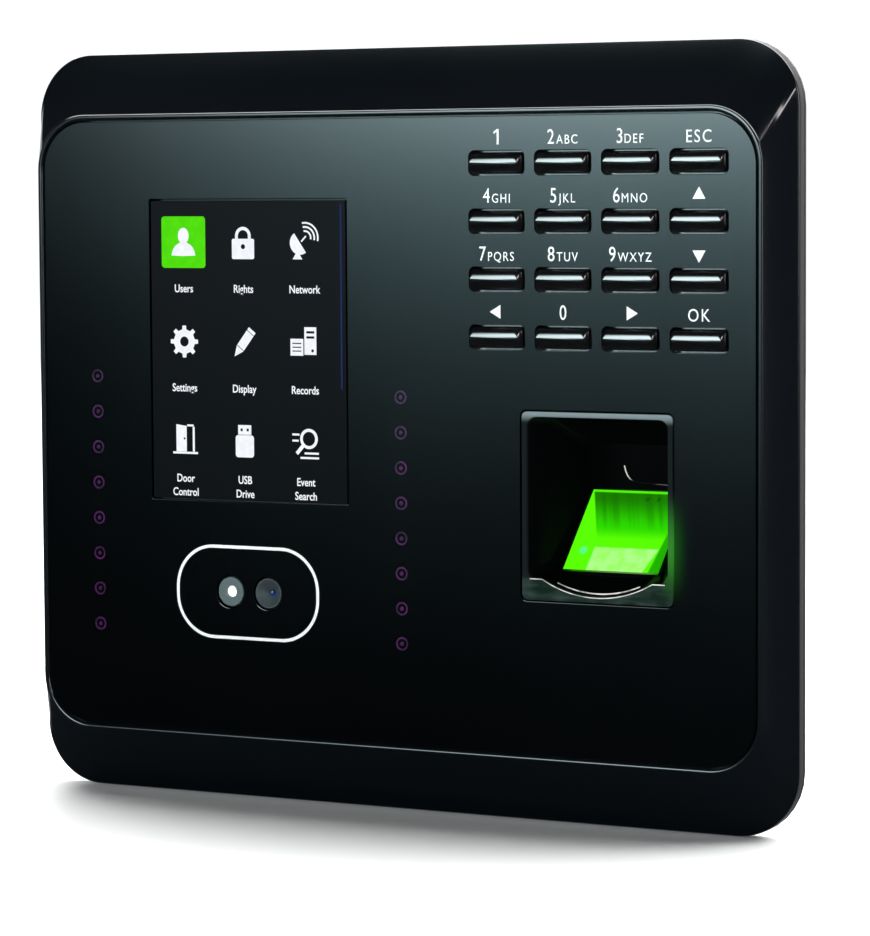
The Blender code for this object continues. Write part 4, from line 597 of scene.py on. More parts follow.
def legend(digit, word, x, baseline):
    """A figure with its small letters after it, centred together over a key."""
    if word in ARROW_TURNS:
        turn = math.radians(ARROW_TURNS[word])
        corners = []
        for angle in (90, 210, 330):
            away = turn + math.radians(angle)
            corners.append((ARROW_RADIUS * math.cos(away), ARROW_RADIUS * math.sin(away)))
        return [flat_shape([corners], (x, ink_front, baseline + ARROW_RISE))]
    parts = []
    if digit == "1":
        flag_end = DIGIT_HEIGHT - 0.8 * ONE_FLAG
        parts.append(flat_shape([[
            (0.0, 0.0), (ONE_STROKE, 0.0), (ONE_STROKE, DIGIT_HEIGHT), (0.0, DIGIT_HEIGHT),
            (-ONE_FLAG, flag_end), (-ONE_FLAG, flag_end - ONE_STROKE),
            (0.0, DIGIT_HEIGHT - 1.2 * ONE_STROKE)]], (x, ink_front, baseline)))
    elif digit:
        parts.append(lettering(digit, DIGIT_HEIGHT, (x, ink_front, baseline), 0.8))
    if word:
        height = LETTER_HEIGHT if digit else WORD_HEIGHT
        parts.append(lettering(word, height, (x, ink_front, baseline), 0.85, 1.22))
    sizes = [width_of(part) for part in parts]
    total = sum(size for size, middle in sizes) + DIGIT_GAP * (len(parts) - 1)
    edge = x - total / 2
    for part, (size, middle) in zip(parts, sizes):
        part.data.transform(Matrix.Translation((edge + size / 2 - middle, 0.0, 0.0)))
        edge += size + DIGIT_GAP
    return parts


legend_parts = []
for row, z in zip(LEGENDS, KEY_ROWS):
    for (digit, word), x in zip(row, KEY_COLUMNS):
        legend_parts += legend(digit, word, x, z + KEY_HALF[1] + LEGEND_RISE)


def rounded(half_x, half_z, radius, steps=16):
    """Points round a rectangle with round corners."""
    points = []
    for quarter, (side_x, side_z) in enumerate(((1, -1), (1, 1), (-1, 1), (-1, -1))):
        for step in range(steps + 1):
            angle = math.radians(90 * (quarter - 1) + 90 * step / steps)
            points.append((
                side_x * (half_x - radius) + radius * math.cos(angle),
                side_z * (half_z - radius) + radius * math.sin(angle)))
    return points


CAMERA_LINE_CENTRE = (-31.2 * MM, -32.6 * MM)
CAMERA_LINE_HALF = (16.4 * MM, 9.35 * MM)
CAMERA_LINE_CORNER = 8.6 * MM
CAMERA_LINE_WIDTH = 0.62 * MM
legend_parts.append(flat_shape([
    rounded(*CAMERA_LINE_HALF, CAMERA_LINE_CORNER),
    rounded(
        CAMERA_LINE_HALF[0] - CAMERA_LINE_WIDTH, CAMERA_LINE_HALF[1] - CAMERA_LINE_WIDTH,
        CAMERA_LINE_CORNER - CAMERA_LINE_WIDTH),
], (CAMERA_LINE_CENTRE[0], ink_front, CAMERA_LINE_CENTRE[1])))
printed_legends = joined("printed_legends", legend_parts)
# The ink also glows a little in its own tones: painted light that keeps it bright whatever lights
# it.
white_ink = Finish("white_ink", {"Roughness": 0.35, "Emission Strength": 0.25})
ink_cover = white_ink.grain(5200.0, 2.0)
white_ink.tones(
    ink_cover, ((0.62, 0.66, 0.68), (0.86, 0.88, 0.88)), ((0.75, 0.8, 0.82), (1.0, 1.0, 1.0)))
dress(printed_legends, white_ink, TERMINAL_BODY)

# ---- Keys ---------------------------------------------------------------------------------------
# Sixteen moulded key tops in gloss black plastic. Each is a rounded ridge on a flat foot, with a
# flange behind the panel that keeps it in its slot and a rubber dome under it.
KEY_NAMES = (
    ("key_1", "key_2", "key_3", "key_esc"),
    ("key_4", "key_5", "key_6", "key_up"),
    ("key_7", "key_8", "key_9", "key_down"),
    ("key_left", "key_0", "key_right", "key_ok"),
)
KEY_FOOT = (KEY_HALF[0] - GAP, KEY_HALF[1] - GAP)
KEY_FLANGE = (KEY_HALF[0] + 0.5 * MM, KEY_HALF[1] + 0.5 * MM)
KEY_PROUD = 1.6 * MM
KEY_TAPER = 0.6 * MM
KEY_CORNER = 0.9 * MM
KEY_FLANGE_BACK = -27.5 * MM
RIDGE_STEPS = 12
RIDGE_END = math.radians(86)

key_outlines = [
    (*KEY_FLANGE, KEY_CORNER, KEY_FLANGE_BACK),
    (*KEY_FLANGE, KEY_CORNER, PANEL_SEAT),
    (*KEY_FOOT, KEY_CORNER, PANEL_SEAT),
    (*KEY_FOOT, KEY_CORNER, PANEL_FRONT),
]
for step in range(1, RIDGE_STEPS + 1):
    turn = RIDGE_END * step / RIDGE_STEPS
    rise = math.sin(turn) / math.sin(RIDGE_END)
    half_z = KEY_FOOT[1] * math.cos(turn)
    key_outlines.append((
        KEY_FOOT[0] - KEY_TAPER * rise ** 2, half_z, min(KEY_CORNER, 0.85 * half_z),
        PANEL_FRONT - KEY_PROUD * rise))
key_master = skin("key_master", key_outlines, (0.0, 0.0), 6)
shade(key_master, 50)
key_gloss = polished("key_gloss", (0.0030, 0.0034, 0.0040), 0.17, 1.0)
for row, z in zip(KEY_NAMES, KEY_ROWS):
    for name, x in zip(row, KEY_COLUMNS):
        key_top = bpy.data.objects.new(name + "_top", key_master.data.copy())
        bpy.context.scene.collection.objects.link(key_top)
        key_top.data.transform(Matrix.Translation((x, 0.0, z)))
        dress(key_top, key_gloss, name + "_body", [name])
bpy.data.objects.remove(key_master, do_unlink=True)

# ---- Display ------------------------------------------------------------------------------------
# A window of black glass set a hair below the panel, over a small upright colour display. What the
# display shows is a menu of nine plain signs with their names, the first one chosen.
WINDOW_FRONT = -30.5 * MM
WINDOW_CORNER = 0.3 * MM
SIGN_THICK = 0.03 * MM
SIGN_COLUMNS = [-45.3 * MM, -31.5 * MM, -17.6 * MM]
SIGN_ROWS = [36.7 * MM, 17.0 * MM, -2.4 * MM]
LABEL_DROP = 9.9 * MM
LABEL_HEIGHT = 1.62 * MM
LINE_PITCH = 2.75 * MM
TILE_HALF = 5.1 * MM
TILE_CORNER = 0.7 * MM
WINDOW_EDGE = 0.08 * MM
SCROLL_BAR_SIZE = (0.34 * MM, 36.0 * MM)
SCROLL_BAR_CENTRE = (-9.35 * MM, 26.2 * MM)

display_glass = skin("display_glass", [
    (*DISPLAY_HALF, WINDOW_CORNER, WINDOW_FRONT),
    (*DISPLAY_HALF, WINDOW_CORNER, PANEL_BACK),
], DISPLAY_CENTRE, 3)
round_edges(display_glass, WINDOW_EDGE, 2, 60)
keep_flat(display_glass)
window_black = Finish("window_black", {"Specular IOR Level": 0.04})
backlight = window_black.ramp(window_black.along(2), -15 * MM, 45 * MM)
window_black.tones(backlight, ((0.0022, 0.0034, 0.0040), (0.0030, 0.0040, 0.0056)))
window_black.feed({"Roughness": 0.30 + 0.05 * window_black.grain(30.0, 2.0)})
dress(display_glass, window_black, TERMINAL_BODY, ["display_window"])


def disc(x, y, radius, steps=28, stretch=1.0):
    """The outline of a disc, or of an upright oval."""
    turns = [2 * math.pi * step / steps for step in range(steps)]
    return [(x + radius * math.cos(turn), y + stretch * radius * math.sin(turn)) for turn in turns]


def bar(x, y, width, height, turn=0.0):
    """A rectangle about a point, turned by degrees."""
    angle = math.radians(turn)
    corners = ((-1, -1), (1, -1), (1, 1), (-1, 1))
    sides = [(a * width / 2, b * height / 2) for a, b in corners]
    return [(
        x + u * math.cos(angle) - v * math.sin(angle),
        y + u * math.sin(angle) + v * math.cos(angle)) for u, v in sides]


def band(x, y, inner, outer, start, end, steps=20):
    """Part of a ring, between two angles in degrees."""
    turns = [math.radians(start + (end - start) * step / steps) for step in range(steps + 1)]
    out = [(x + outer * math.cos(turn), y + outer * math.sin(turn)) for turn in turns]
    back = [(x + inner * math.cos(turn), y + inner * math.sin(turn)) for turn in reversed(turns)]
    return out + back


def cog(radius, root, teeth):
    """The outline of a toothed wheel."""
    points = []
    for tooth in range(teeth):
        for share, reach in ((-0.25, root), (-0.16, radius), (0.16, radius), (0.25, root)):
            turn = 2 * math.pi * (tooth + share) / teeth + math.pi / 2
            points.append((reach * math.cos(turn), reach * math.sin(turn)))
    return points


def soft_box(x, y, half_x, half_y, radius):
    """A rectangle about a point, with round corners."""
    return [(x + u, y + v) for u, v in rounded(half_x, half_y, radius, 5)]


# Each sign is some shapes, in millimetres about its middle; a shape is an outline and its holes
SIGNS = (
    (
        [disc(0.0, 1.25, 1.25, 28, 1.28)],
        [band(0.0, -2.75, 0.02, 2.75, 2.0, 178.0)],
    ),
    (
        [soft_box(0.0, -1.3, 2.55, 2.0, 0.35), disc(0.0, -0.85, 0.5)],
        [band(0.0, 1.25, 1.15, 1.8, 0.0, 180.0)],
        [bar(-1.475, 0.97, 0.65, 0.5)],
        [bar(1.475, 0.97, 0.65, 0.5)],
    ),
    (
        [band(-0.9, -0.1, 0.02, 2.3, 125.0, 305.0)],
        [bar(-0.1, 0.7, 1.5, 0.32, 45.0)],
        [[(-2.6, -3.3), (-0.4, -3.3), (-1.1, -2.2), (-1.9, -2.2)]],
        [band(0.2, 0.9, 1.15, 1.5, -12.0, 102.0)],
        [band(0.2, 0.9, 1.95, 2.3, -12.0, 102.0)],
        [band(0.2, 0.9, 2.75, 3.1, -12.0, 102.0)],
    ),
    (
        [cog(3.2, 2.45, 8), disc(0.0, 0.0, 1.0)],
    ),
    (
        [bar(0.35, 0.4, 1.9, 3.6, -38.0)],
        [bar(1.75, 2.2, 1.9, 0.65, -38.0)],
        [[(-1.6, -0.55), (-0.1, -1.75), (-2.15, -2.75)]],
    ),
    (
        [bar(1.25, 0.5, 2.7, 5.4), bar(1.25, 2.2, 1.8, 0.45), bar(1.25, 1.2, 1.8, 0.45),
         disc(1.75, -1.4, 0.3)],
        [bar(-1.8, -0.75, 2.9, 3.3), bar(-1.8, 0.0, 2.0, 0.22), bar(-1.8, -0.75, 2.0, 0.22),
         bar(-1.8, -1.5, 2.0, 0.22)],
    ),
    (
        [bar(0.0, -2.75, 5.8, 0.42)],
        [[(-2.1, -2.5), (-2.1, 2.9), (0.3, 2.6), (0.3, -2.5)], disc(-0.2, 0.1, 0.22)],
        [bar(1.2, 2.72, 1.5, 0.4)],
        [bar(1.95, -0.02, 0.45, 4.95)],
    ),
    (
        [soft_box(0.0, -1.1, 2.1, 2.2, 0.6)],
        [bar(0.0, 2.15, 3.0, 1.9), bar(-0.7, 2.15, 0.5, 0.55), bar(0.7, 2.15, 0.5, 0.55)],
    ),
    (
        [disc(0.75, 0.75, 2.0), disc(0.75, 0.75, 1.4)],
        [bar(-1.25, -1.35, 0.75, 2.3, -42.0)],
        [bar(-2.2, 1.55, 1.6, 0.4)],
        [bar(-2.3, 0.35, 1.4, 0.4)],
        [bar(1.35, -2.1, 3.2, 0.4)],
        [bar(0.9, -3.0, 4.2, 0.4)],
    ),
)
LABELS = (
    ("Users",), ("Rights",), ("Network",),
    ("Settings",), ("Display",), ("Records",),
    ("Door", "Control"), ("USB", "Drive"), ("Event", "Search"),
)
sign_front = WINDOW_FRONT - SIGN_THICK / 2
sign_parts = []
label_parts = []
for number, (sign, words) in enumerate(zip(SIGNS, LABELS)):
    x = SIGN_COLUMNS[number % 3]
    z = SIGN_ROWS[number // 3]
    for outlines in sign:
        scaled = [[(u * MM, v * MM) for u, v in outline] for outline in outlines]
        sign_parts.append(flat_shape(scaled, (x, sign_front, z)))
    first_line = z - LABEL_DROP + (LINE_PITCH / 2 if len(words) > 1 else 0.0)
    for line, word in enumerate(words):
        label_parts.append(lettering(
            word, LABEL_HEIGHT, (x, sign_front, first_line - LINE_PITCH * line), 0.84, 1.0,
            weight=0.03 * MM))
chosen_tile = flat_shape(
    [rounded(TILE_HALF, TILE_HALF, TILE_CORNER, 6)],
    (SIGN_COLUMNS[0], WINDOW_FRONT - SIGN_THICK / 4, SIGN_ROWS[0]), SIGN_THICK / 2)
chosen_tile.name = "menu_tile"
menu_signs = joined("menu_signs", sign_parts + label_parts)
scroll_bar = flat_shape(
    [bar(*SCROLL_BAR_CENTRE, *SCROLL_BAR_SIZE)], (0.0, sign_front, 0.0))
scroll_bar.name = "menu_scroll_bar"


def lit(name, colour, glow, rows):
    """Light from the display: the colour varies a little with the rows of the display."""
    finish = Finish(name, {
        "Roughness": 0.5, "Specular IOR Level": 0.0, "Emission Strength": glow})
    return finish.tones(
        finish.ramp(finish.grain(rows, 1.0), 0.3, 0.7),
        around(colour, 0.02, 0.03), around(colour, 0.93, 1.0))


dress(menu_signs, lit("menu_white", (0.92, 0.95, 1.0), 1.0, 900.0), TERMINAL_BODY)
dress(chosen_tile, lit("menu_green", (0.085, 0.74, 0.006), 1.0, 700.0), TERMINAL_BODY)
dress(scroll_bar, lit("menu_blue", (0.03, 0.05, 0.18), 0.6, 700.0), TERMINAL_BODY)

# ---- Infrared emitters --------------------------------------------------------------------------
# Two columns of eight emitters stand on narrow boards behind the smoked panel. Through it each one
# is seen only as a faint purple ring with a point in its middle.
EMITTER_COUNT = 8
EMITTER_COLUMNS = ((-65.9 * MM, 9.8 * MM, 7.16 * MM), (3.7 * MM, 6.95 * MM, 6.83 * MM))
RING_OUTER = 1.32 * MM
RING_INNER = 0.98 * MM
POINT_RADIUS = 0.42 * MM
ring_parts = []
for x, top, pitch in EMITTER_COLUMNS:
    for number in range(EMITTER_COUNT):
        place = (x, ink_front, top - pitch * number)
        ring_parts.append(flat_shape([disc(0, 0, RING_OUTER), disc(0, 0, RING_INNER)], place))
        ring_parts.append(flat_shape([disc(0, 0, POINT_RADIUS, 16)], place))
emitter_rings = joined("emitter_rings", ring_parts)
emitter_purple = Finish("emitter_purple", {"Roughness": 0.2, "Emission Strength": 1.0})
uneven = emitter_purple.ramp(emitter_purple.grain(420.0, 1.0), 0.25, 0.7)
emitter_purple.tones(
    uneven, ((0.002, 0.001, 0.003), (0.01, 0.002, 0.012)),
    ((0.016, 0.003, 0.022), (0.062, 0.004, 0.075)))
dress(emitter_rings, emitter_purple, TERMINAL_BODY)

# ---- Cameras ------------------------------------------------------------------------------------
# Two small cameras look out through holes in the panel. The left one has a notched front ring
# round its lit lens; the right one has a blackened cone with a small coated lens deep in it.
CAMERA_FRONT = -30.2 * MM
CAMERA_BACK = -25.3 * MM
CONE_DEPTH = 1.8 * MM
CONE_RADIUS = 2.75 * MM
CONE_THROAT = 0.75 * MM
BORE_RADIUS = 1.3 * MM
RING_CHAMFER = (0.15 * MM, 0.2 * MM)
RING_BORE = 1.15 * MM
BORE_CHAMFER = (0.1 * MM, 0.25 * MM)
RING_THICK = 0.9 * MM
CONE_CHAMFER = 0.1 * MM
THROAT_LENGTH = 0.3 * MM
NOTCHES = 9
MISSING_NOTCHES = (1, 2, 3)
NOTCH_RADIUS = 0.27 * MM
NOTCH_LENGTH = 1.2 * MM
FIRST_NOTCH = 0.3                # radians round from +X
LENS_BACK = -26.2 * MM
LIT_LENS = (1.05 * MM, 0.35 * MM)        # radius and rise
COATED_LENS = (0.7 * MM, 0.4 * MM)
LIT_LENS_SINK = 0.55 * MM
(left_x, left_z), (right_x, right_z) = CAMERA_CENTRES
face_on = (math.radians(90), 0.0, 0.0)


def spun(name, profile, x, z, steps=48):
    """A round piece about an axis along Y: a profile of (radius, level), spun and closed."""
    piece = new_piece(name)
    bpy.ops.mesh.primitive_plane_add(size=MM, location=(x + profile[0][0], profile[0][1], z))
    bpy.ops.mesh.merge(type="CENTER")
    for before, after in zip(profile, profile[1:]):
        bpy.ops.mesh.extrude_region_move(TRANSFORM_OT_translate={
            "value": (after[0] - before[0], after[1] - before[1], 0.0)})
    bpy.ops.mesh.select_all(action="SELECT")
    bpy.ops.mesh.spin(steps=steps, angle=2 * math.pi, center=(x, 0.0, z), axis=(0.0, 1.0, 0.0))
    bpy.ops.mesh.select_all(action="SELECT")
    bpy.ops.mesh.remove_doubles(threshold=0.001 * MM)
    close_editing()
    shade(piece, 40)
    return piece


left_barrel = spun("camera_ring", [
    (BORE_RADIUS, CAMERA_BACK), (CAMERA_RADIUS, CAMERA_BACK),
    (CAMERA_RADIUS, CAMERA_FRONT + RING_CHAMFER[1]),
    (CAMERA_RADIUS - RING_CHAMFER[0], CAMERA_FRONT),
    (RING_BORE + BORE_CHAMFER[0], CAMERA_FRONT), (RING_BORE, CAMERA_FRONT + BORE_CHAMFER[1]),
    (RING_BORE, CAMERA_FRONT + RING_THICK),
    (BORE_RADIUS, CAMERA_FRONT + RING_THICK), (BORE_RADIUS, CAMERA_BACK),
], left_x, left_z)
notch_cutters = new_piece("cut_notches")
for number in range(NOTCHES):
    if number in MISSING_NOTCHES:
        continue
    turn = 2 * math.pi * number / NOTCHES + FIRST_NOTCH
    reach = CAMERA_RADIUS + 0.05 * MM
    bpy.ops.mesh.primitive_cylinder_add(
        vertices=16, radius=NOTCH_RADIUS, depth=NOTCH_LENGTH, rotation=face_on,
        location=(left_x + reach * math.cos(turn), CAMERA_FRONT, left_z + reach * math.sin(turn)))
close_editing()
cut_out(left_barrel, notch_cutters)
shade(left_barrel, 40)
throat_back = CAMERA_FRONT + CONE_DEPTH + THROAT_LENGTH
right_barrel = spun("camera_cone", [
    (BORE_RADIUS, CAMERA_BACK), (CAMERA_RADIUS, CAMERA_BACK),
    (CAMERA_RADIUS, CAMERA_FRONT + CONE_CHAMFER), (CAMERA_RADIUS - CONE_CHAMFER, CAMERA_FRONT),
    (CONE_RADIUS, CAMERA_FRONT), (CONE_THROAT, CAMERA_FRONT + CONE_DEPTH),
    (CONE_THROAT, throat_back), (BORE_RADIUS, throat_back), (BORE_RADIUS, CAMERA_BACK),
], right_x, right_z)


def anodised(name, colour, roughness):
    """Dull anodised metal with a fine speckle."""
    finish = Finish(name, {"Metallic": 0.35})
    speck = finish.grain(2400.0, 3.0)
    finish.tones(speck, around(colour, 0.75, 1.2))
    finish.feed({"Roughness": roughness + 0.1 * (speck - 0.5)})
    return finish.relief(speck, 0.01 * MM)


dress(left_barrel, anodised("ring_grey", (0.085, 0.115, 0.12), 0.6), TERMINAL_BODY,
      ["camera_barrel_left"])
dress(right_barrel, anodised("cone_grey", (0.05, 0.07, 0.078), 0.6), TERMINAL_BODY,
      ["camera_barrel_right"])


def lens_dome(name, radius, rise, front, x, z, steps=6):
    """A lens with a domed front, its rim at the given level."""
    profile = [(0.0, front - rise)]
    for step in range(1, steps + 1):
        share = step / steps
        profile.append((radius * share, front - rise * (1 - share * share)))
    profile += [(radius, LENS_BACK), (0.0, LENS_BACK)]
    return spun(name, profile, x, z, 32)


left_lens = lens_dome("camera_lit_lens", *LIT_LENS, CAMERA_FRONT + LIT_LENS_SINK, left_x, left_z)
lens_light = Finish("lens_light", {"Roughness": 0.1, "Emission Strength": 1.6})
core = lens_light.ramp(lens_light.grain(700.0, 1.0), 0.2, 0.6)
lens_light.tones(
    core, ((0.7, 0.75, 0.8), (0.9, 0.9, 0.9)), ((0.8, 0.86, 0.95), (1.0, 0.98, 0.95)))
dress(left_lens, lens_light, TERMINAL_BODY, ["camera_lens_left"])
right_lens = lens_dome(
    "camera_coated_lens", *COATED_LENS, CAMERA_FRONT + CONE_DEPTH - 0.1 * MM, right_x, right_z)
lens_coat = Finish(
    "lens_coat", {"Roughness": 0.06, "Coat Roughness": 0.03, "Emission Strength": 1.0})
# Over the coating's own dark blue, the lower half glows blue: a painted reflection off the
# coating, fading to dark on the upper half.
upper_share = lens_coat.ramp(lens_coat.along(2), right_z - 0.5 * MM, right_z + 0.5 * MM)
lens_coat.tones(
    upper_share, ((0.004, 0.012, 0.05), (0.002, 0.004, 0.012)),
    ((0.004, 0.03, 0.14), (0.003, 0.006, 0.02)))
lens_coat.feed({"Coat Weight": 0.8 + 0.2 * upper_share})
dress(right_lens, lens_coat, TERMINAL_BODY, ["camera_lens_right"])

# ---- Finger recess ------------------------------------------------------------------------------
# The guide that leads the finger on to the sensor is one black moulding. Its edge round the mouth
# and its lower lip are satin, its pocket is polished, and a hollow in the lip takes the fingertip.
GUIDE_TOP = 4.85 * MM
GUIDE_EDGE = 0.2 * MM
LIP_TOP = -26.95 * MM
LIP_SHOULDER = 2.6 * MM          # straight part of the lip, beside the hollow
LIP_EDGE = 0.10 * MM
SCOOP_HALF = 11.5 * MM
SCOOP_DEPTH = 3.1 * MM
INNER_HALF = 8.6 * MM
INNER_DEPTH = 1.75 * MM
INNER_DROP = 0.62 * MM
INNER_EDGE = 0.13 * MM
PLATEN_LEFT = 35.75 * MM
PLATEN_WIDTH = 19.6 * MM
PLATEN_LOW = -25.4 * MM
PLATEN_RISE = 14.2 * MM

finger_recess = merged_copy("finger_guide", "finger_recess")
round_edges(finger_recess, GUIDE_EDGE)
keep_flat(finger_recess)


def platen_glow_near(finish):
    """Green light that spills past the right side of the mouth and dies away over a few mm."""
    right = finish.along(0) - (FINGER_CENTRE[0] + FINGER_HALF[0])
    across = finish.ramp(right, 0.0, 6.0 * MM, 1.0, 0.0)
    inside = finish.ramp(right, -3.0 * MM, -0.5 * MM)
    height = finish.along(2)
    lower = finish.ramp(height, -31.0 * MM, -20.0 * MM)
    upper = finish.ramp(height, -20.0 * MM, -9.0 * MM, 1.0, 0.0)
    return (across * across * across * across) * inside * lower * upper


def satin_guide():
    """Satin on the face, with a painted highlight along its top; dark polish in the pocket; the
    face glows its own tones as painted light; the sensor's light on both.
    """
    finish = Finish("guide_satin", {"Specular IOR Level": 0.02, "Emission Strength": 1.0})
    depth = finish.along(1)
    height = finish.along(2)
    face = finish.ramp(depth, PANEL_FRONT + 0.25 * MM, PANEL_FRONT + 0.6 * MM, 1.0, 0.0)
    top_highlight = finish.ramp(height, GUIDE_TOP - 2.2 * MM, GUIDE_TOP - 0.1 * MM)
    at_lip = finish.ramp(height, LIP_TOP + 0.5 * MM, LIP_TOP - 0.5 * MM)
    brushed = finish.grain(950.0, 3.0, (0.16, 1.0, 1.0))
    cloud = finish.grain(230.0, 2.0)
    mottle = brushed * cloud * 1.6
    # A painted highlight: the face is lighter near the top edge of the mouth.
    top_highlight_tone = finish.blend(top_highlight, (0.0035, 0.0055, 0.0055), (0.10, 0.125, 0.13))
    lip_tone = finish.blend(
        finish.ramp(mottle, 0.2, 0.8), (0.003, 0.008, 0.005), (0.021, 0.034, 0.031))
    face_tone = finish.blend(at_lip, top_highlight_tone, lip_tone)
    finish.feed({
        "Base Color": finish.blend(face, (0.0015, 0.0019, 0.0022), face_tone),
        "Metallic": 0.35 * face,
        "Roughness": 0.2 + 0.22 * face + 0.1 * (brushed - 0.5)})
    # The face glows with its own tones: painted light that brightens the satin edge and the
    # mottled lip.
    painted_face_glow = finish.blend(face, (0.0, 0.0, 0.0), face_tone)
    spill = finish.blend(platen_glow_near(finish), painted_face_glow, (0.03, 0.22, 0.02))
    finish.feed({"Emission Color": spill})
    return finish.relief(brushed * face, 0.015 * MM)


dress(finger_recess, satin_guide(), TERMINAL_BODY, ["finger_guide"])


def rod(name, path, radius, rotation=(0.0, 0.0, 0.0)):
    """A thin round rod along a path, one straight stretch after another."""
    piece = new_piece(name)
    bpy.ops.mesh.primitive_circle_add(
        vertices=8, radius=radius, fill_type="NGON", rotation=rotation, location=path[0])
    for before, after in zip(path, path[1:]):
        bpy.ops.mesh.extrude_region_move(TRANSFORM_OT_translate={
            "value": [end - start for start, end in zip(before, after)]})
    close_editing()
    shade(piece, 60)
    return piece


def lip_glint_strip(name, half_width, depth, level, top, shoulder, radius, steps=28):
    """A thin rounded strip along the hollow in the lip, that carries the painted highlight of its
    edge.
    """
    bow = (half_width ** 2 + depth ** 2) / (2 * depth)
    sweep = math.asin(half_width / bow)
    path = []
    for step in range(steps + 1):
        turn = -sweep + 2 * sweep * step / steps
        path.append((
            FINGER_CENTRE[0] + bow * math.sin(turn), level,
            top - depth + bow * (1 - math.cos(turn))))
    if shoulder:
        path.insert(0, (FINGER_CENTRE[0] - half_width - shoulder, level, top))
        path.append((FINGER_CENTRE[0] + half_width + shoulder, level, top))
    return rod(name, path, radius, (0.0, math.radians(90), 0.0))


panel_smoke.feed({
    "Emission Strength": 1.0,
    "Emission Color": panel_smoke.blend(
        platen_glow_near(panel_smoke), (0.0, 0.0, 0.0), (0.004, 0.075, 0.0))})
# The two strips along the hollow glow as a painted highlight on the lip's edges, uneven along
# their length.
painted_lip_glint = Finish("lip_glint", {"Emission Strength": 1.0})
uneven_glint = painted_lip_glint.ramp(painted_lip_glint.grain(320.0, 2.0), 0.3, 0.65)
painted_lip_glint.tones(
    uneven_glint, ((0.05, 0.05, 0.05), (0.3, 0.28, 0.28)), ((0.10, 0.13, 0.10), (0.72, 0.66, 0.66)))
painted_lip_glint.feed({"Roughness": 0.15 + 0.1 * uneven_glint})
outer_glint = lip_glint_strip(
    "lip_glint_outer", SCOOP_HALF, SCOOP_DEPTH, PANEL_FRONT + 0.05 * MM, LIP_TOP, LIP_SHOULDER,
    LIP_EDGE)
inner_glint = lip_glint_strip(
    "lip_glint_inner", INNER_HALF, INNER_DEPTH, PANEL_FRONT + 0.9 * MM, LIP_TOP - INNER_DROP, 0.0,
    INNER_EDGE)
dress(outer_glint, painted_lip_glint, TERMINAL_BODY)
dress(inner_glint, painted_lip_glint, TERMINAL_BODY)

# ---- Sensor prism -------------------------------------------------------------------------------
# The finger lies on the sloped face of a glass prism lit from below in green. Its lower part shows
# the bright face of the light box, and its upper part the darker inside of the glass. On its face
# u runs from left to right and v from bottom to top, both from 0 to 1.
prism_glow = Finish("prism_glow", {
    "Roughness": 0.12, "Specular IOR Level": 0.12, "Emission Strength": 1.0})
u = (prism_glow.along(0) - PLATEN_LEFT) / PLATEN_WIDTH
v = (prism_glow.along(2) - PLATEN_LOW) / PLATEN_RISE


def edge_step(value, at, soft=0.012):
    """0 below a value and 1 above it, with a soft edge."""
    return prism_glow.ramp(value, at - soft, at + soft)


inside = prism_glow.along(0) * 0.88 + prism_glow.along(1) * 0.475
low_half = prism_glow.blend(
    prism_glow.ramp(v, 0.36, 0.55), (0.102, 0.99, 0.001), (0.026, 0.70, 0.0))
body_tone = prism_glow.blend(prism_glow.ramp(v, 0.5, 0.93), low_half, (0.0097, 0.20, 0.0006))
streak_place = prism_glow.node("ShaderNodeCombineXYZ", None, {0: inside})
streak_noise = prism_glow.node(
    "ShaderNodeTexNoise", None, {"Vector": streak_place, "Scale": 620.0, "Detail": 2.0})
streaks = prism_glow.ramp(streak_noise, 0.42, 0.62)
body_tone = prism_glow.blend(
    0.35 * streaks * prism_glow.ramp(v, 0.45, 0.7), body_tone, (0.006, 0.10, 0.0006))
in_wedge = 1.0 - prism_glow.ramp(inside, 25.95 * MM, 26.3 * MM)
right_strip = edge_step(u + 0.12 * (0.4 - v), 0.955)
tone = prism_glow.blend(right_strip, body_tone, (0.014, 0.42, 0.001))
tone = prism_glow.blend(in_wedge, tone, (0.102, 0.99, 0.002))
bright_face = (
    (1.0 - edge_step(v, 0.285)) * edge_step(u - 0.02 * v, 0.245)
    * (1.0 - edge_step(u - 0.31 * v, 0.842)))
mottled = prism_glow.grain(600.0, 2.0, (1.0, 1.0, 0.2))
pale = prism_glow.blend(prism_glow.ramp(mottled, 0.35, 0.65), (0.32, 1.0, 0.13), (0.42, 1.0, 0.26))
tone = prism_glow.blend(bright_face, tone, pale)


def oval(place, size, inner, outer):
    """1 in an oval on the prism's face and 0 round it."""
    off_u = (u - place[0]) / size[0]
    off_v = (v - place[1]) / size[1]
    return prism_glow.ramp(off_u * off_u + off_v * off_v, inner, outer, 1.0, 0.0)


spot = oval((0.14, 0.24), (0.05, 0.06), 0.1, 1.0)
tone = prism_glow.blend(0.7 * spot, tone, (0.10, 0.95, 0.40))
for place in (0.62, 0.74, 0.87):
    dot = oval((place, 0.90), (0.022, 0.03), 0.2, 1.2)
    tone = prism_glow.blend(0.6 * dot, tone, (0.003, 0.05, 0.0006))
# A painted highlight: a bright line along the top edge of the prism's face.
tone = prism_glow.blend(edge_step(v, 0.972, 0.008), tone, (0.08, 0.95, 0.002))
prism_glow.feed({
    "Base Color": prism_glow.blend(bright_face, (0.004, 0.05, 0.001), (0.03, 0.2, 0.01)),
    "Emission Color": tone})
dress(nodes["sensor_prism"], prism_glow)

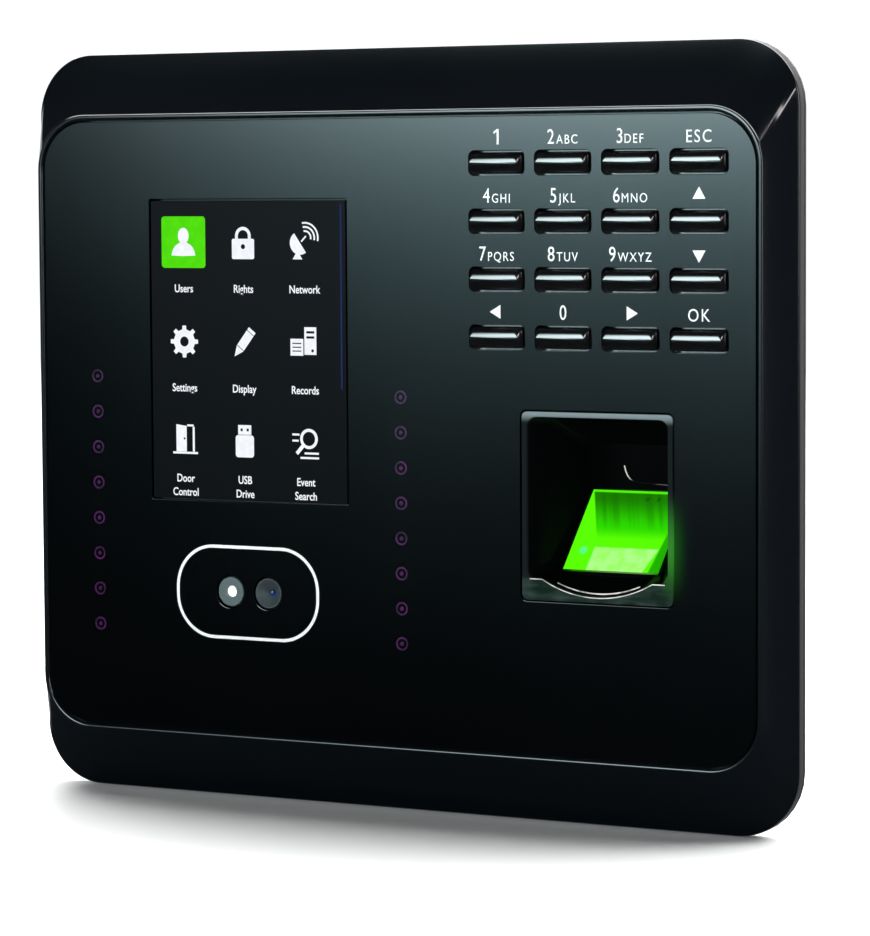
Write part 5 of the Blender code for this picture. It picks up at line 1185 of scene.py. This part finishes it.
# A moulded ledge in the pocket, above the glass; its corner and its end glow with a painted glint
LEDGE_LEVEL = -12.3 * MM
LEDGE_RADIUS = 0.13 * MM
LEDGE_LINE = ((42.7, -6.3), (42.95, -7.3), (43.35, -8.2), (43.95, -8.9), (44.8, -9.3),
              (46.5, -9.55), (50.0, -9.75), (55.2, -9.95))      # in mm
recess_ledge = rod(
    "recess_ledge", [(x * MM, LEDGE_LEVEL, z * MM) for x, z in LEDGE_LINE], LEDGE_RADIUS)
ledge_glint = Finish("ledge_glint", {"Roughness": 0.2, "Emission Strength": 1.0})
along_ledge = ledge_glint.along(0)
glint_end = ledge_glint.ramp(along_ledge, 48.5 * MM, 51.0 * MM)
glint_curve = ledge_glint.ramp(along_ledge, 43.4 * MM, 44.6 * MM, 1.0, 0.0)
ledge_glint.tones(glint_end, ((0.02, 0.03, 0.02), (0.2, 0.2, 0.2)))
ledge_glint.feed({"Emission Color": ledge_glint.blend(
    glint_end + glint_curve, (0.006, 0.012, 0.006), (0.62, 0.66, 0.58))})
dress(recess_ledge, ledge_glint, TERMINAL_BODY)

# ---- Boards -------------------------------------------------------------------------------------
# The boards are glass-fibre laminate under green varnish, with copper tracks showing lighter
# through it. They are screwed or clipped to the covers.
TRACK_PITCH = 1.27               # in mm


def varnished(name, colour):
    """Green varnish over tracks that run both ways, with a slightly uneven gloss."""
    finish = Finish(name, {"Specular IOR Level": 0.5})
    tracks = finish.ramp(finish.grain(700.0 / TRACK_PITCH, 0.0, (0.12, 1.0, 1.0)), 0.52, 0.56)
    crossing = finish.ramp(finish.grain(640.0 / TRACK_PITCH, 0.0, (1.0, 1.0, 0.12)), 0.55, 0.59)
    copper = 1.0 - (1.0 - tracks) * (1.0 - crossing)
    wide = finish.grain(60.0, 2.0)
    finish.tones(copper, (colour, [c + 0.035 for c in colour]))
    finish.feed({"Roughness": 0.34 + 0.12 * wide})
    return finish.relief(copper, 0.03 * MM)


board_varnish = varnished("board_varnish", (0.008, 0.085, 0.035))
for name in ("main_board", "key_board", "camera_board", "sensor_board"):
    dress(nodes[name], board_varnish)
led_varnish = varnished("led_varnish", (0.010, 0.012, 0.014))
for name in ("led_strip_left", "led_strip_right"):
    dress(nodes[name], led_varnish)
dress(nodes["processor_shield"], plated("can_plate", (0.52, 0.53, 0.53), 0.3))
dress(nodes["lcd_frame"], plated("tray_plate", (0.45, 0.46, 0.47), 0.36))

# ---- Display module and keypad inside -----------------------------------------------------------
# The display module is glass in a pressed tray, on an amber film cable. Under the keys lie a grey
# rubber mat and its contact board.
panel_layers = Finish("display_module", {"Specular IOR Level": 0.5})
across_module = panel_layers.ramp(panel_layers.along(2), -20.0 * MM, 50.0 * MM)
panel_layers.tones(across_module, ((0.10, 0.105, 0.11), (0.16, 0.165, 0.175)))
panel_layers.feed({"Roughness": 0.3 + 0.1 * panel_layers.grain(200.0)})
dress(nodes["lcd_panel"], panel_layers)
film_amber = Finish("film_amber", {"Specular IOR Level": 0.5})
lanes = film_amber.ramp(film_amber.grain(1500.0, 0.0, (1.0, 0.0, 0.0)), 0.45, 0.55)
film_amber.tones(lanes, ((0.28, 0.12, 0.015), (0.45, 0.24, 0.05)))
film_amber.feed({"Roughness": 0.3 + 0.1 * lanes})
dress(nodes["lcd_flex"], film_amber)
dress(nodes["key_mat"], moulded("mat_rubber", (0.16, 0.165, 0.17), 0.72, 1800.0, 0.02 * MM))
black_nylon = moulded("black_nylon", (0.014, 0.014, 0.015), 0.46, 2600.0, 0.02 * MM)
for name in ("key_connector", "sensor_housing", "battery_holder", "tamper_switch", "reset_switch"):
    dress(nodes[name], black_nylon)
dress(nodes["clock_battery"], plated("cell_nickel", (0.66, 0.65, 0.62), 0.26))
dress(nodes["door_relay"], moulded("relay_blue", (0.012, 0.05, 0.20), 0.4, 2200.0, 0.01 * MM))

# ---- Sockets ------------------------------------------------------------------------------------
# The connectors stand on the main board and open downwards, three into the cable bay and the USB
# socket through the bottom wall. Their shells are tinned steel or nylon, their contacts gilt.
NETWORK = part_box("ethernet_jack")
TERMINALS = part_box("terminal_block")
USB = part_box("usb_socket")
CONTACTS = 8
TERMINAL_WAYS = 8
TERMINAL_PITCH = 3.5 * MM
CONTACT_PITCH = 1.02 * MM
CONTACT_HALF = 0.22 * MM
CONTACT_THICK = 0.30 * MM
CONTACT_SEAT = 2.75 * MM         # from the socket's front
CONTACT_SPAN = (3.0 * MM, 11.0 * MM)     # from its mouth
LEVER_HALF = 1.1 * MM
LEVER_LEVELS = (0.9 * MM, 0.2 * MM)      # from the block's back
LEVER_SPAN = (-0.9 * MM, 0.4 * MM)       # from its mouth
USB_PLACES = (-3.5 * MM, -1.0 * MM, 1.0 * MM, 3.5 * MM)      # contacts from the middle
USB_CONTACT_HALF = 0.5 * MM
USB_CONTACT_SPAN = (1.8 * MM, 9.5 * MM)
USB_TONGUE_DEPTH = 3.1 * MM      # the tongue's front from the shell's back

tinned = plated("socket_tin", (0.6, 0.61, 0.6), 0.28)
for name in ("ethernet_jack", "usb_socket"):
    dress(nodes[name], tinned)
dress(nodes["power_jack"], black_nylon)
dress(nodes["terminal_block"], moulded(
    "terminal_green", (0.02, 0.20, 0.05), 0.42, 2400.0, 0.02 * MM))


def blocks(name, boxes, width):
    """Several blocks in one piece, with their edges rounded."""
    piece = joined(name, [
        block(f"{name}_{number}", *corners) for number, corners in enumerate(boxes)])
    round_edges(piece, width)
    return piece


gilt = plated("contact_gilt", (0.83, 0.62, 0.25), 0.25)
network_middle = (NETWORK[0][0] + NETWORK[1][0]) / 2
contact_boxes = []
for number in range(CONTACTS):
    x = network_middle + (number - (CONTACTS - 1) / 2) * CONTACT_PITCH
    y = NETWORK[0][1] + CONTACT_SEAT
    contact_boxes.append((
        (x - CONTACT_HALF, y, NETWORK[0][2] + CONTACT_SPAN[0]),
        (x + CONTACT_HALF, y + CONTACT_THICK, NETWORK[0][2] + CONTACT_SPAN[1])))
network_contacts = blocks("network_contacts", contact_boxes, 0.05 * MM)
dress(network_contacts, gilt, TERMINAL_BODY)

lever_boxes = []
for number in range(TERMINAL_WAYS):
    x = TERMINALS[0][0] + (number + 0.5) * TERMINAL_PITCH
    lever_boxes.append((
        (x - LEVER_HALF, TERMINALS[1][1] - LEVER_LEVELS[0], TERMINALS[0][2] + LEVER_SPAN[0]),
        (x + LEVER_HALF, TERMINALS[1][1] - LEVER_LEVELS[1], TERMINALS[0][2] + LEVER_SPAN[1])))
terminal_levers = blocks("terminal_levers", lever_boxes, 0.15 * MM)
dress(terminal_levers, moulded("lever_orange", (0.55, 0.14, 0.01), 0.4, 2400.0, 0.01 * MM),
      TERMINAL_BODY)

usb_boxes = []
tongue_front = USB[1][1] - USB_TONGUE_DEPTH
for place in USB_PLACES:
    x = (USB[0][0] + USB[1][0]) / 2 + place
    usb_boxes.append((
        (x - USB_CONTACT_HALF, tongue_front - 0.12 * MM, USB[0][2] + USB_CONTACT_SPAN[0]),
        (x + USB_CONTACT_HALF, tongue_front + 0.05 * MM, USB[0][2] + USB_CONTACT_SPAN[1])))
usb_contacts = blocks("usb_contacts", usb_boxes, 0.04 * MM)
dress(usb_contacts, gilt, TERMINAL_BODY)

# ---- Buttons and speaker ------------------------------------------------------------------------
# A sprung plunger watches the wall plate, a reset button sits behind its pinhole, and the
# loudspeaker's doped paper cone shows through the slots in the rear cover.
dress(nodes["tamper_button"], moulded(
    "plunger_nylon", (0.30, 0.30, 0.29), 0.38, 1800.0, 0.01 * MM))
dress(nodes["reset_button"], moulded("reset_nylon", (0.35, 0.04, 0.03), 0.38, 1800.0, 0.01 * MM))
dress(nodes["speaker"], moulded("cone_paper", (0.02, 0.019, 0.018), 0.78, 900.0, 0.08 * MM))

# ---- Studio -------------------------------------------------------------------------------------
# A pale floor and backdrop, one large soft light overhead and behind, and a tall soft panel at the
# front left, whose reflection runs down the gloss face and along the crests of the keys. A narrow
# panel at the right lights the rim, and a wide sheet behind gives the steel plate a reflection.
FLOOR_LEVEL = -74.5 * MM
FLOOR_SIZE = 8.0
BACKDROP_SIZE = (FLOOR_SIZE, 5.0)
BACKDROP_FROM_WALL = 1.6
UPRIGHT = math.radians(90)
PANEL_DISTANCE = 1.6
PANEL_SIZE = (1.4, 3.6)
PANEL_AZIMUTH = math.radians(26)
PANEL_DOUBLING = 43.0 * MM       # the panel's light doubles with this much height
LIGHT_AT_LEVEL = 0.059           # its share of full strength at the middle's height
FULL_LIGHT = 0.6                 # and where it stops growing
SIDE_SIZE = (0.35, 1.6)
SIDE_AZIMUTH = math.radians(62)
REAR_SIZE = (4.4, 2.6)
REAR_SHEET_FROM_WALL = 1.3


def stage_sheet(name, size, place, rotation, finish):
    """A flat sheet of the studio."""
    sheet = new_piece(name)
    bpy.ops.mesh.primitive_plane_add(size=1.0)
    bpy.ops.transform.resize(value=(*size, 1.0), center_override=(0.0, 0.0, 0.0))
    close_editing(outward=False)
    sheet.location = place
    sheet.rotation_euler = rotation
    sheet.data.materials.append(finish.material)
    return sheet


pale_floor = Finish("pale_floor", {"Roughness": 0.32, "Specular IOR Level": 0.35})
pale_floor.feed({"Base Color": pale_floor.blend(
    pale_floor.grain(3.0), (0.86, 0.87, 0.88), (0.90, 0.90, 0.90))})
floor = stage_sheet(
    "floor", (FLOOR_SIZE, FLOOR_SIZE), (0.0, 0.0, FLOOR_LEVEL), (0.0, 0.0, 0.0), pale_floor)
floor.visible_glossy = False


def glowing(name, strength):
    """A finish that only gives light."""
    return Finish(name, {
        "Base Color": (0.0, 0.0, 0.0), "Roughness": 1.0, "Specular IOR Level": 0.0,
        "Emission Color": (1.0, 1.0, 1.0), "Emission Strength": strength})


def reflected_sheet(name, size, azimuth, distance, rise, finish):
    """An upright bright sheet, seen only in reflections; azimuth 0 is straight in front."""
    sheet = stage_sheet(
        name, size, (distance * math.sin(azimuth), -distance * math.cos(azimuth), rise),
        (UPRIGHT, 0.0, azimuth), finish)
    sheet.visible_camera = False
    sheet.visible_diffuse = False


backdrop = stage_sheet(
    "backdrop", BACKDROP_SIZE, (0.0, BACKDROP_FROM_WALL, 1.5), (UPRIGHT, 0.0, 0.0),
    glowing("backdrop_white", 1.05))
backdrop.visible_glossy = False

soft_panel_glow = glowing("soft_panel_glow", 22.0)
rise = soft_panel_glow.along(1)
doubling = 2.0 ** (rise / PANEL_DOUBLING)
lift = soft_panel_glow.node(
    "ShaderNodeMath", {"operation": "MINIMUM"}, {0: LIGHT_AT_LEVEL * doubling, 1: FULL_LIGHT})
fall = soft_panel_glow.ramp(rise, 0.8, 1.25, 1.0, 0.0)
spread = soft_panel_glow.ramp(soft_panel_glow.along(0), -0.36, 0.06)
tint = soft_panel_glow.blend(lift, (0.52, 0.93, 1.0), (1.0, 1.0, 1.0))
soft_panel_glow.feed({"Emission Color": soft_panel_glow.blend(
    lift * fall * spread, (0.0, 0.0, 0.0), tint)})
reflected_sheet("soft_panel", PANEL_SIZE, -PANEL_AZIMUTH, PANEL_DISTANCE, 0.0, soft_panel_glow)

rear_glow = glowing("rear_glow", 1.3)
rear_glow.feed({"Emission Color": rear_glow.blend(
    rear_glow.ramp(rear_glow.along(1), -0.9, 0.6), (0.25, 0.26, 0.27), (1.0, 1.0, 1.0))})
reflected_sheet("rear_sheet", REAR_SIZE, math.pi, REAR_SHEET_FROM_WALL, 0.2, rear_glow)

side_glow = glowing("side_glow", 14.0)
side_lift = side_glow.ramp(side_glow.along(1), -0.2, 0.14)
side_glow.feed({"Emission Color": side_glow.blend(
    side_lift * side_lift, (0.006, 0.009, 0.012), (1.0, 0.95, 0.98))})
reflected_sheet("side_panel", SIDE_SIZE, SIDE_AZIMUTH, PANEL_DISTANCE, 0.0, side_glow)


def soft_light(name, place, aim, size, power):
    """A rectangular white light that looks at a point."""
    light = bpy.data.lights.new(name, "AREA")
    light.shape = "RECTANGLE"
    light.size, light.size_y = size
    light.energy = power
    lamp = bpy.data.objects.new(name, light)
    bpy.context.scene.collection.objects.link(lamp)
    lamp.location = place
    lamp.rotation_euler = (Vector(aim) - Vector(place)).to_track_quat("-Z", "Y").to_euler()
    return lamp


soft_light("overhead", (0.0, 0.9, 1.4), (0.0, 0.0, -0.05), (3.8, 1.9), 232.0)
front_fill = soft_light("front_fill", (0.0, -1.3, 1.5), (0.0, -0.1, -0.07), (2.4, 1.2), 12.0)
front_fill.visible_glossy = False

world = bpy.data.worlds.new("studio_air")
bpy.context.scene.world = world
world.use_nodes = True
world.node_tree.nodes["Background"].inputs["Color"].default_value = (0.9, 0.95, 1.0, 1.0)
world.node_tree.nodes["Background"].inputs["Strength"].default_value = 0.02

# ---- Camera -------------------------------------------------------------------------------------
# A long lens from the right and slightly above, level with the face.
CAMERA_YAW = math.radians(28.35)
CAMERA_PITCH = math.radians(4.30)
CAMERA_ROLL = math.radians(-0.34)
CAMERA_DISTANCE = 731.0 * MM
CAMERA_AIM = Vector((7.38 * MM, RIM_FRONT, -7.08 * MM))

lens = bpy.data.cameras.new("camera")
lens.sensor_fit = "VERTICAL"
lens.sensor_height = 36.0
lens.lens = 144.8
lens.clip_start = 0.05
lens.clip_end = 20.0
camera = bpy.data.objects.new("camera", lens)
bpy.context.scene.collection.objects.link(camera)
forward = Vector((
    -math.sin(CAMERA_YAW) * math.cos(CAMERA_PITCH),
    math.cos(CAMERA_YAW) * math.cos(CAMERA_PITCH),
    -math.sin(CAMERA_PITCH)))
level_right = Vector((math.cos(CAMERA_YAW), math.sin(CAMERA_YAW), 0.0))
level_up = level_right.cross(forward)
right = level_right * math.cos(CAMERA_ROLL) + level_up * math.sin(CAMERA_ROLL)
up = level_up * math.cos(CAMERA_ROLL) - level_right * math.sin(CAMERA_ROLL)
camera.matrix_world = Matrix((
    (right.x, up.x, -forward.x, 0.0),
    (right.y, up.y, -forward.y, 0.0),
    (right.z, up.z, -forward.z, 0.0),
    (0.0, 0.0, 0.0, 1.0)))
camera.location = CAMERA_AIM - CAMERA_DISTANCE * forward
bpy.context.scene.camera = camera
bpy.context.scene.view_settings.view_transform = "Standard"
